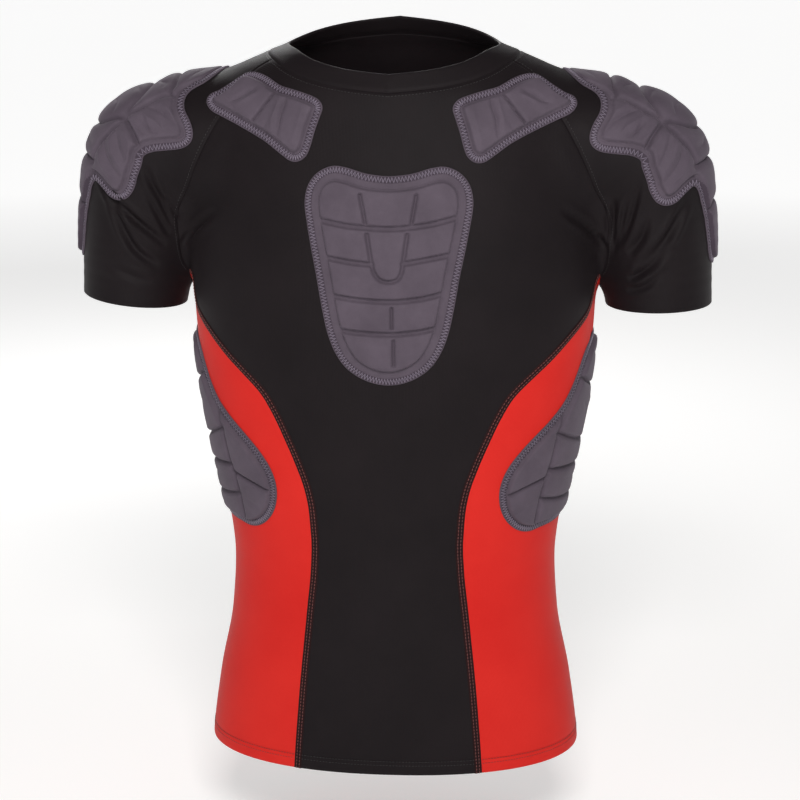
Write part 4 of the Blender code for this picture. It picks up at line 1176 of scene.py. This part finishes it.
def smooth_loop(corners, step):
    """A closed curve through corner points, resampled at equal steps."""
    corners = np.array(corners, float)
    before, p, q, further = (np.roll(corners, -turn, axis=0)[:, None] for turn in (-1, 0, 1, 2))
    t = np.linspace(0, 1, 12, endpoint=False)[None, :, None]
    m, n = (q - before) / 2, (further - p) / 2
    curve = (2 * t**3 - 3 * t**2 + 1) * p + (t**3 - 2 * t**2 + t) * m
    curve = curve + (3 * t**2 - 2 * t**3) * q + (t**3 - t**2) * n
    return even_loop(curve.reshape(-1, corners.shape[1]), step)


def even_loop(line, step, even=False):
    """A closed line resampled at equal steps; even asks for an even number of them."""
    line = np.vstack([line, line[:1]])
    walked = walked_along(line)
    count = 2 * int(round(walked[-1] / step / 2)) if even else int(round(walked[-1] / step))
    at = np.linspace(0, walked[-1], count, endpoint=False)
    return np.stack([np.interp(at, walked, line[:, k]) for k in range(line.shape[1])], axis=1)


def even_flat(line, step):
    """A flat open line resampled at equal steps, smoothed through its points."""
    line = np.array(line, float)
    walked = walked_along(line)
    at = np.linspace(0, walked[-1], max(2, int(round(walked[-1] / step))) + 1)
    if len(line) == 2:
        return np.stack([np.interp(at, walked, line[:, k]) for k in range(2)], axis=1)
    return np.stack([curve_through(walked, line[:, k], at) for k in range(2)], axis=1)


def drawn_in(loop, away):
    """A closed flat curve moved inward."""
    ahead = unit(np.roll(loop, -1, axis=0) - np.roll(loop, 1, axis=0))
    area = (loop[:, 0] * np.roll(loop[:, 1], -1) - loop[:, 1] * np.roll(loop[:, 0], -1)).sum()
    return loop + away * np.sign(area) * np.stack([-ahead[:, 1], ahead[:, 0]], axis=1)


def within(points, loop):
    """Which flat points lie inside a closed curve."""
    inside = np.zeros(len(points), bool)
    for a, b in zip(loop, np.roll(loop, -1, axis=0)):
        crosses = (a[1] > points[:, 1]) != (b[1] > points[:, 1])
        level = a[0] + (points[:, 1] - a[1]) / (b[1] - a[1] + 1e-12) * (b[0] - a[0])
        inside ^= crosses & (points[:, 0] < level)
    return inside


def net(loop, rings, step):
    """Flat points and triangles that fill a closed curve: the curve, rings inside it, and an even net."""
    low, high = loop.min(axis=0), loop.max(axis=0)
    across, down = np.arange(low[0], high[0], step), np.arange(low[1], high[1], step * 0.866)
    grid = np.stack(np.meshgrid(across, down), axis=-1)
    grid[1::2, :, 0] += step / 2
    grid = grid.reshape(-1, 2)
    grid = grid[within(grid, drawn_in(loop, (rings[-1] if rings else 0.0) + 0.7 * step))]
    points = np.vstack([loop] + [drawn_in(loop, away) for away in rings] + [grid])
    edges = [(k, (k + 1) % len(loop)) for k in range(len(loop))]
    verts, _, faces, _, _, _ = delaunay_2d_cdt([Vector(p) for p in points], edges, [], 1, 1e-5)
    return np.array([tuple(v) for v in verts]), np.array([f for f in faces if len(f) == 3])


def gap_to(points, line, reach):
    """Distances to a line and places along it, only worked out for points within reach of it."""
    gap, where = np.full(len(points), FAR), np.zeros(len(points))
    close = ((points > line.min(axis=0) - reach) & (points < line.max(axis=0) + reach)).all(axis=1)
    if close.any():
        gap[close], where[close] = near_line(points[close], line)
    return gap, where


def bed_height(edge):
    """Height of the flange at a distance from its edge: rounded, and pressed down under the stitches."""
    pressed = smooth_step((edge - STITCHED_FROM + 0.4) / 0.8) * (1 - smooth_step((edge - STITCHED_TO) / 1.0))
    return FLANGE * (0.3 + 0.7 * dome(edge / 1.2)) - STITCH_PRESS * pressed


# %% The pad itself
def quilted_pad(node, loop, chart, step, flange, block, fillet, crown, channels, folds, side=1):
    """A moulded pad. flange and block give the flange's width and the block's height at flat points.

    Channels are rows of (half width of the floor, slope, share of the block's height, line) and folds
    rows of (width, depth, line).
    """
    mirror = np.array((side, 1, 1))
    flat, faces = net(loop, (0.45, 1.0, 1.7), step)
    base, lower_faces = net(loop, (), 9.0)
    outline = chart(loop)
    points, low_points = chart(flat), chart(base)
    normals, low_normals = outward(points), outward(low_points)
    edge = near_line(points, np.vstack([outline, outline[:1]]))[0]
    inside = edge - flange(flat)
    block_area = dome(inside / fillet)
    channel_rise, crease = np.ones(len(points)), np.zeros(len(points))
    depth = np.maximum(inside, 0)
    for floor, slope, share, line in channels:
        gap = gap_to(points, chart(even_flat(line, 2.0)), CHANNEL_REACH)[0] - floor
        channel_rise *= 1 - share * (1 - dome(gap / slope))
        outside = np.maximum(gap, 0)
        if floor < 1:
            crease = np.maximum(crease, np.exp(-((outside / CHANNEL_LINE) ** 2)))
        depth = np.minimum(depth, outside)
    folded = np.zeros(len(points))
    for width, deep, line in folds:
        gap, where = gap_to(points, chart(even_flat(line, 2.0)), 6 * width)
        folded -= deep * np.exp(-gap / width) * np.sin(np.pi * np.clip(where, 0.02, 0.98)) ** 0.5
    swell = crown * (1 - np.exp(-depth / SWELL_REACH))
    pressed = FOOT_CREASE * np.exp(-((inside / 1.0) ** 2)) + CHANNEL_PRESS * block_area * crease
    lift = PAD_FOOT + bed_height(edge) - pressed + block_area * channel_rise * (block(flat) + folded) + swell
    faces = facing_out(points, faces, normals)
    count = len(points)
    rim = open_edges(faces)
    below = {tuple(np.round(p, 4)): k + count for k, p in enumerate(base)}
    under = {k: below[tuple(np.round(flat[k], 4))] for k in np.unique(rim)}
    rim_faces = np.array([(b, a, under[a], under[b]) for a, b in rim.tolist()])
    parts = [faces, facing_out(low_points, lower_faces, -low_normals) + count, rim_faces]
    if side < 0:
        parts = [part[:, ::-1] for part in parts]
    body = np.vstack([points + lift[:, None] * normals, low_points + PAD_FOOT * low_normals]) * mirror
    made = mesh_object(node + "_quilted", body, parts, pad_cover)
    # The sewn band gets the darker cover: needle holes and painted shade between the zigzag threads.
    made.data.materials.append(holes_and_painted_shade_cover)
    face_edge = edge[faces].mean(axis=1)
    holes_and_shade_index = np.zeros(len(made.data.polygons), np.int32)
    holes_and_shade_index[: len(faces)] = (face_edge > STITCHED_FROM) & (face_edge < STITCHED_TO)
    made.data.polygons.foreach_set("material_index", holes_and_shade_index)
    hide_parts(node)
    print(made.name, "-", sum(len(part) for part in parts), "faces, up to", round(float(lift.max()), 1), "mm")
    zigzag(node, outline, mirror)


def zigzag(node, outline, mirror):
    """The zigzag that sews the flange down: one thread from side to side of the pressed band."""
    holes = even_loop(outline, ZIGZAG_STEP, even=True)
    shorter = length_of(beside(holes, 3.0, closed=True)[0]) < length_of(holes)
    inward = 1.0 if shorter else -1.0
    outer, outer_normals = beside(holes, inward * STITCHED_FROM, closed=True)
    inner, inner_normals = beside(holes, inward * STITCHED_TO, closed=True)
    odd = (np.arange(len(holes)) % 2 == 0)[:, None]
    normals = np.where(odd, outer_normals, inner_normals)
    height = PAD_FOOT + np.where(odd, bed_height(STITCHED_FROM), bed_height(STITCHED_TO)) + 0.02
    lifted = (np.where(odd, outer, inner) + height * normals) * mirror
    following = np.roll(lifted, -1, axis=0)
    stitches(node + "_zigzag", lifted, following, normals * mirror, ZIGZAG_RADIUS, pale_thread)


def drawn(rows, to_flat):
    """Channels or folds with their lines, the last thing in each row, drawn in a flat chart."""
    return [(*row[:-1], to_flat(row[-1])) for row in rows]


def pair_of_pads(name, *shape):
    for side, word in SIDES:
        quilted_pad(f"{name}_{word}", *shape, side)


print("pads are sewn down between", STITCHED_FROM, "and", STITCHED_TO, "mm from the edge")

# %% [markdown]
# ### Breastbone pad
#
# The chart is simply the view from the front. Five rows of blocks narrow downwards; the second row has
# a tongue that hangs into the third, and short channels split the first, second, fourth and fifth rows.
# These blocks are flat with crisp edges, and the channels between them have flat floors.

# %% Breastbone pad
BREASTBONE_CENTRE = 2.5
BREASTBONE_HALF = (
    (0, -109), (20, -107), (38, -102), (51, -101), (64, -107), (72.5, -118), (75.5, -133), (73.5, -150),
    (69, -175), (64, -200), (60, -224), (55, -248), (48, -267), (38, -281.5), (25, -291), (12, -296),
    (0, -297.5),
)


def whole_outline(half, mirror):
    """Both sides of an outline that is given for one side."""
    half = np.array(half, float)
    return np.vstack([half, half[-2:0:-1] * mirror])


def on_front(flat):
    """Points of the form straight behind places on the front view."""
    points = np.stack([flat[:, 0] + BREASTBONE_CENTRE, np.full(len(flat), -115.0), flat[:, 1]], axis=1)
    for _ in range(9):
        value, slope = slope_of(form, points, 0.5)
        points[:, 1] -= value / np.minimum(slope[:, 1], -0.3)
    return points


BREASTBONE_CHANNELS = (
    (2.0, 1.3, 1.0, ((-66, -147.5), (-30, -153.5), (1, -155), (32, -152), (66, -144))),
    (1.9, 1.3, 1.0, ((-60, -180), (-34, -184.5), (-14, -186.5))),
    (1.9, 1.3, 1.0, ((60, -177), (34, -182), (14, -185.5))),
    (1.2, 1.7, 0.85, (
        (-14, -186.5), (-11.5, -194), (-6, -200), (1, -201.5), (8, -200), (12.5, -194), (14, -185.5),
    )),
    (1.9, 1.3, 1.0, ((-56, -213), (-27, -217.5), (1, -219), (28, -216.5), (56, -209.5))),
    (1.9, 1.3, 1.0, ((-50, -244.5), (-24, -248), (1, -249), (24, -247), (50, -241.5))),
    (0.7, 1.7, 0.72, ((-25, -126), (-20, -150))),
    (0.7, 1.7, 0.72, ((25, -126), (21, -150))),
    (1.2, 1.7, 0.85, ((-18.5, -160), (-14, -186.5))),
    (1.2, 1.7, 0.85, ((17.5, -160), (14, -185.5))),
    (0.6, 1.6, 0.68, ((4, -225), (4, -243))),
    (0.6, 1.6, 0.68, ((5.5, -255), (5.5, -277))),
)
BREASTBONE_FOLDS = (
    (2.2, 0.55, ((-14, -139), (1, -140.5), (15, -139))),
    (3.0, 0.4, ((-46, -166), (-40, -178))),
    (2.6, 0.35, ((-26, -227), (-23, -241))),
    (4.0, 0.4, ((14, -234), (33, -232))),
    (3.0, 0.35, ((-44, -196), (-30, -203), (-20, -204))),
)
breastbone = smooth_loop(whole_outline(BREASTBONE_HALF, (-1, 1)), 1.5)
quilted_pad(
    "sternum_pad", breastbone, on_front, 1.05, lambda flat: 13.6, lambda flat: 3.9, 1.9, 1.2,
    BREASTBONE_CHANNELS, BREASTBONE_FOLDS,
)

# %% [markdown]
# ### Collarbone pads
#
# These sit on a slope, so their chart is a plane laid against them: one axis along the pad, one down
# it. Points of the plane are pushed straight in until they meet the form. Two blocks, a deep channel
# between them that narrows at both ends, and folds where the cover is pinched over the collarbone.

# %% Collarbone pads
COLLAR_CENTRE = np.array((112.0, -78.0, -55.0))
COLLAR_NORMAL = outward(settle(COLLAR_CENTRE[None]))[0]
COLLAR_ALONG = np.array((0.907, 0.401, 0.122))
COLLAR_ALONG -= (COLLAR_ALONG @ COLLAR_NORMAL) * COLLAR_NORMAL
COLLAR_ALONG /= np.linalg.norm(COLLAR_ALONG)
COLLAR_DOWN = np.cross(COLLAR_NORMAL, COLLAR_ALONG)
COLLAR_DOWN *= -np.sign(COLLAR_DOWN[2])


def on_collar(flat):
    points = COLLAR_CENTRE + flat[:, :1] * COLLAR_ALONG + flat[:, 1:] * COLLAR_DOWN
    for _ in range(10):
        value, slope = slope_of(form, points, 0.5)
        points = points - (value / np.maximum(slope @ COLLAR_NORMAL, 0.3))[:, None] * COLLAR_NORMAL
    return points


def collar_flat(places):
    away = np.array(places, float) - COLLAR_CENTRE
    return np.stack([away @ COLLAR_ALONG, away @ COLLAR_DOWN], axis=1)


COLLAR_OUTLINE = (
    (62, -90, -44), (68, -87, -40), (83.5, -80.5, -35.5), (99, -72.5, -32), (111, -62, -26), (120, -54, -23),
    (128, -49, -22), (136, -46, -24), (150, -48, -33), (160, -49, -38.5), (168, -49, -42),
    (171.5, -52.5, -47), (169.5, -57, -52.5), (164, -60.5, -57), (152, -66, -62), (134, -76, -69.5),
    (113, -87, -80), (97, -95, -91), (88, -99, -96.5), (80, -101, -96.5), (73.5, -102, -91),
    (69.5, -100, -82), (66, -97, -70), (62, -94.5, -58), (59.5, -92, -50),
)
COLLAR_CHANNELS = (
    (0.3, 2.4, 1.0, (
        (101, -73, -41), (105, -73.5, -46), (110.5, -75, -52.5), (115.5, -75.5, -59), (121, -76, -65),
    )),
)
COLLAR_FOLDS = (
    (1.7, 4.1, ((91, -79, -41), (92, -80, -51), (95.5, -83, -60), (97, -86, -68), (98, -88, -77))),
    (1.7, -2.0, ((96, -77, -42), (98, -79, -52), (102, -82, -63), (103, -84, -70))),
    (1.7, 3.5, ((118, -65, -38), (126, -63, -42), (136, -61, -48), (143, -60, -50))),
    (1.8, -1.9, ((115, -68, -41), (124, -66, -46), (133, -64, -51))),
    (3.0, -1.2, ((75, -86, -50), (79, -90, -66), (84, -93, -82))),
    (2.2, 1.0, ((106, -80, -62), (109, -82, -68), (113, -82, -72))),
    (2.2, 0.9, ((150, -53, -44), (140, -62, -55), (132, -68, -60))),
)
collar_loop = smooth_loop(collar_flat(COLLAR_OUTLINE), 1.5)
pair_of_pads(
    "collarbone_pad", collar_loop, on_collar, 1.1, lambda flat: 8.0, lambda flat: 4.4, 2.6, 1.2,
    drawn(COLLAR_CHANNELS, collar_flat), drawn(COLLAR_FOLDS, collar_flat),
)

# %% [markdown]
# ### Shoulder pads
#
# The chart is the sleeve's own fan: share of the way from neck to armpit, and turn from the top to the
# front. Six rounded blocks run down the ridge, and two lobes with pinched facets hang over the front.
# The channels of the third block run together in one point beside it, where both lobes start too. The
# back, which the picture hides, is made the same.

# %% Shoulder pads
FAN_LENGTH = 297.0
TURN_LENGTH = 1.62
SHOULDER_HALF = (
    (0.186, 0), (0.198, 7), (0.222, 16), (0.258, 23.5), (0.30, 26), (0.328, 31.5), (0.342, 40), (0.341, 50),
    (0.350, 58), (0.372, 63), (0.405, 64.5), (0.45, 62.5), (0.50, 59.5), (0.538, 58.5), (0.562, 61.5),
    (0.605, 64.5), (0.655, 67.5), (0.705, 66.5), (0.738, 61), (0.752, 53), (0.749, 43), (0.752, 35),
    (0.775, 31), (0.82, 29.5), (0.87, 28), (0.93, 27.5), (0.98, 26.5), (1.015, 23), (1.035, 17), (1.045, 9),
    (1.048, 0),
)


def on_shoulder(flat):
    return fan_exit(flat[:, 0] / FAN_LENGTH, np.radians(flat[:, 1] / TURN_LENGTH), 0.0)


def fan_flat(places, facing=1):
    return np.array(places, float) * (FAN_LENGTH, TURN_LENGTH * facing)


def shoulder_flange(flat):
    """The flange is wide round the lobes and narrow at the neck and down the arm."""
    widths = (5.5, 6.5, 10.2, 10.2, 4.6, 4.6)
    return np.interp(flat[:, 0] / FAN_LENGTH, (0.19, 0.30, 0.35, 0.72, 0.77, 1.05), widths)


def shoulder_block(flat):
    """The blocks are lowest at the neck, where the pad runs out, and lower again near the cuff."""
    heights = (0.9, 2.0, 3.6, 4.6, 4.6, 3.6)
    return np.interp(flat[:, 0] / FAN_LENGTH, (0.19, 0.27, 0.36, 0.45, 0.80, 1.03), heights)


# Ridge channels, from the top of the ridge to the front groove
RIDGE_CHANNELS = (
    ((0.332, 0), (0.337, 8), (0.345, 16), (0.372, 27)),
    ((0.418, 0), (0.424, 7), (0.441, 15.5), (0.48, 24), (0.522, 30.5)),
    ((0.632, 0), (0.624, 8), (0.602, 18), (0.565, 25), (0.522, 30.5)),
    ((0.722, 0), (0.718, 12), (0.708, 24), (0.70, 31)),
    ((0.838, 0), (0.841, 12), (0.858, 28)),
)
SIDE_CHANNELS = (
    (0.8, 4.4, 1.0, ((0.345, 30), (0.385, 26.5), (0.43, 28.5), (0.475, 31), (0.522, 30.5))),
    (0.8, 4.4, 1.0, ((0.522, 30.5), (0.55, 33), (0.59, 32.8), (0.645, 30.5), (0.70, 30))),
    (0.7, 3.4, 1.0, ((0.522, 30.5), (0.522, 43), (0.527, 51), (0.542, 60))),
)
SHOULDER_FOLDS = (
    (2.6, 3.2, ((0.445, 31), (0.41, 38), (0.385, 47), (0.385, 54))),
    (2.2, -2.0, ((0.468, 34), (0.445, 42), (0.425, 51))),
    (2.2, 2.9, ((0.478, 37), (0.47, 45), (0.45, 51))),
    (2.1, -1.7, ((0.405, 30), (0.385, 38), (0.372, 47))),
    (1.9, 1.7, ((0.51, 36), (0.50, 44), (0.488, 50))),
    (2.4, 3.1, ((0.565, 36), (0.585, 44), (0.60, 54))),
    (2.2, -2.2, ((0.545, 37), (0.55, 46), (0.575, 55))),
    (2.2, 2.9, ((0.61, 34), (0.64, 41), (0.65, 50), (0.652, 57))),
    (2.1, -1.9, ((0.59, 35), (0.615, 44), (0.63, 55))),
    (2.1, -1.5, ((0.65, 33), (0.675, 42), (0.68, 52))),
    (2.9, 1.9, ((0.47, 22), (0.455, 14), (0.46, 6))),
    (2.9, 2.0, ((0.555, 22), (0.53, 12), (0.54, 4))),
    (2.4, 1.5, ((0.395, 8), (0.375, 14), (0.385, 20))),
    (2.7, 1.7, ((0.26, 6), (0.29, 13), (0.31, 20))),
    (2.6, 1.5, ((0.66, 8), (0.67, 16), (0.655, 24))),
)
shoulder_loop = smooth_loop(whole_outline(fan_flat(SHOULDER_HALF), (1, -1)), 1.6)
shoulder_channels, shoulder_folds = [], []
for line in RIDGE_CHANNELS:
    over = np.vstack([np.array(line)[::-1], np.array(line)[1:] * (1, -1)])
    shoulder_channels.append((0.4, 9.0, 1.0, fan_flat(over)))
for facing in (1, -1):
    shoulder_channels += drawn(SIDE_CHANNELS, lambda line: fan_flat(line, facing))
    shoulder_folds += drawn(SHOULDER_FOLDS, lambda line: fan_flat(line, facing))
pair_of_pads(
    "shoulder_pad", shoulder_loop, on_shoulder, 1.3, shoulder_flange, shoulder_block, 2.8, 0.8,
    shoulder_channels, shoulder_folds,
)

# %% [markdown]
# ### Rib pads
#
# Here the chart is angle round the trunk and height. The leaf shape follows the red panel; a long
# channel parts the front lobe from the main column, and cross channels let the pad bend at the waist.

# %% Rib pads
ANGLE_LENGTH = 2.85
RIB_OUTLINE = (
    (88, -266.5), (83.5, -268.5), (79.5, -274), (76.3, -283), (73.8, -296), (71.2, -311), (67.8, -326),
    (63.2, -340), (58, -354), (53, -369.5), (49.4, -385), (47.7, -402), (48.4, -419), (51, -433.5),
    (55.5, -445), (61, -450.5), (67, -449.5), (74, -449), (84, -448), (95, -445.5), (104, -441),
    (110.5, -434), (115, -424), (117.5, -411), (118, -398), (116, -372), (113.2, -347), (110.5, -324),
    (107.5, -304), (104, -286), (99.5, -273.5), (94, -268),
)
RIB_CHANNELS = (
    (0.6, 4.2, 1.0, (
        (71.8, -320), (68.2, -337), (66, -358), (65.6, -378), (64.4, -395), (63.4, -415), (62.8, -440),
    )),
    (0.6, 5.0, 1.0, ((74, -303), (81, -313), (88, -319), (97, -319), (106, -306))),
    (0.6, 5.0, 1.0, ((66, -353), (76, -365), (87, -372), (98, -371), (111, -357))),
    (0.6, 5.0, 1.0, ((65.3, -389), (78, -393), (92, -397), (104, -394), (116, -384))),
    (0.5, 3.6, 1.0, ((51, -408), (57, -402), (65, -395))),
    (0.5, 4.4, 0.95, ((63.4, -417), (74, -423), (90, -427), (103, -424), (115, -415))),
)
RIB_FOLDS = (
    (3.6, 1.4, ((81, -280), (90, -290), (98, -284))),
    (4.0, 1.6, ((77, -328), (83, -343), (86, -360))),
    (3.2, -0.9, ((83, -326), (90, -340), (94, -360))),
    (3.2, 1.2, ((74, -402), (82, -408), (92, -412))),
    (2.8, 1.2, ((54, -428), (58, -423), (62, -420))),
    (3.4, 1.2, ((96, -333), (101, -348), (104, -358))),
    (3.0, 1.0, ((58, -372), (61, -380), (63, -390))),
    (3.2, 1.0, ((76, -436), (86, -441), (98, -440))),
)


def on_trunk(flat):
    return settle(trunk_points(flat[:, 0] / ANGLE_LENGTH, flat[:, 1]))


def rib_flat(places):
    return np.array(places, float) * (ANGLE_LENGTH, 1)


rib_loop = smooth_loop(rib_flat(RIB_OUTLINE), 1.6)
pair_of_pads(
    "rib_pad", rib_loop, on_trunk, 1.3, lambda flat: 6.6, lambda flat: 4.2, 3.2, 0.8,
    drawn(RIB_CHANNELS, rib_flat), drawn(RIB_FOLDS, rib_flat),
)

# %% [markdown]
# ## Studio
#
# A pale paper floor that glows a little more with distance, so that it runs into a surround that is
# bright at the horizon and dim overhead, and three soft lamps: the main one high in front, a weaker
# one level with the chest, and one from behind that draws a thin edge of light on the shoulders. The
# camera stands where the photographer stood, four degrees round to the wearer's left and a little
# above the neck, looking down.

# %% Floor
def paper():
    made, tree, out = new_material("matt_white_paper_floor")
    grain = add(tree, "ShaderNodeTexNoise", {"Scale": 60.0, "Detail": 3.0}).outputs["Fac"]
    place = add(tree, "ShaderNodeNewGeometry").outputs["Position"]
    away = add(tree, "ShaderNodeVectorMath", {"operation": "LENGTH"}, {0: place}).outputs["Value"]
    glow = ranged(tree, away, 0.8, 5.0, 0.2, 0.72)
    settings = {"Roughness": 0.9, "Emission Color": linear("#FFFFFF")}
    links = {"Base Color": tones(tree, "#F6F5F4", "#FAFAF9", grain), "Emission Strength": glow}
    return finished(made, tree, out, settings, links)


FLOOR_HEIGHT = -0.80
FLOOR_HALF = 40.0
floor_mesh = bpy.data.meshes.new("studio_floor")
corners = [(x * FLOOR_HALF, y * FLOOR_HALF, FLOOR_HEIGHT) for x, y in ((-1, -1), (1, -1), (1, 1), (-1, 1))]
floor_mesh.from_pydata(corners, [], [(0, 1, 2, 3)])
floor_mesh.materials.append(paper())
floor = bpy.data.objects.new("studio_floor", floor_mesh)
bpy.context.scene.collection.objects.link(floor)
floor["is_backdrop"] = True
print("floor at", FLOOR_HEIGHT, "m")

# %% Surround and lamps
world = bpy.data.worlds.new("bright_studio")
bpy.context.scene.world = world
world.use_nodes = True
sky = world.node_tree.nodes["Background"]
sky.inputs["Color"].default_value = (1.0, 1.0, 1.0, 1.0)
direction = add(world.node_tree, "ShaderNodeTexCoord").outputs["Generated"]
height = add(world.node_tree, "ShaderNodeSeparateXYZ", {}, {0: direction}).outputs["Z"]
world.node_tree.links.new(ranged(world.node_tree, height, 0.06, 0.4, 0.86, 0.2), sky.inputs["Strength"])


def lamp(name, place, aim, size, power, colour):
    light = bpy.data.lights.new(name, "AREA")
    light.shape = "RECTANGLE"
    light.size, light.size_y = size
    light.energy = power
    light.color = linear(colour)[:3]
    made = bpy.data.objects.new(name, light)
    made.location = place
    made.rotation_euler = (Vector(aim) - Vector(place)).to_track_quat("-Z", "Y").to_euler()
    bpy.context.scene.collection.objects.link(made)


lamp("main_softbox", (0.2, -2.0, 1.15), (0, 0, -0.3), (0.8, 0.6), 40.0, "#FFFCFA")
lamp("front_softbox", (0.0, -2.5, 0.15), (0, 0, -0.1), (0.7, 0.5), 11.0, "#FFFFFF")
lamp("back_softbox", (-0.5, 2.1, 1.1), (0, 0, -0.3), (1.0, 0.8), 26.0, "#FFFFFF")
bpy.context.scene.view_settings.view_transform = "Standard"
print("three lamps and a white surround")

# %% Camera
camera_data = bpy.data.cameras.new("photo_camera")
camera_data.sensor_width = 36.0
camera_data.lens = 85.25433
camera_data.clip_start, camera_data.clip_end = 0.05, 60.0
camera = bpy.data.objects.new("photo_camera", camera_data)
turn, distance, look_down = np.radians(4.0), 1.8, np.radians(14.1101)
camera.location = (np.sin(turn) * distance + 0.005, -np.cos(turn) * distance, 0.11)
camera.rotation_euler = (np.pi / 2 - look_down, 0.0, turn)
bpy.context.scene.collection.objects.link(camera)
bpy.context.scene.camera = camera
print("camera at", [round(v, 3) for v in camera.location])

# %% [markdown]
# ## Measure and finish
#
# The dressed shirt must still be the size of the measured model, so both boxes are printed.

# %% Finish
dressed_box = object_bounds()
for word, box in (("cad", cad_box), ("dressed", dressed_box)):
    print(word, [round(float(v), 4) for v in box[1] - box[0]])
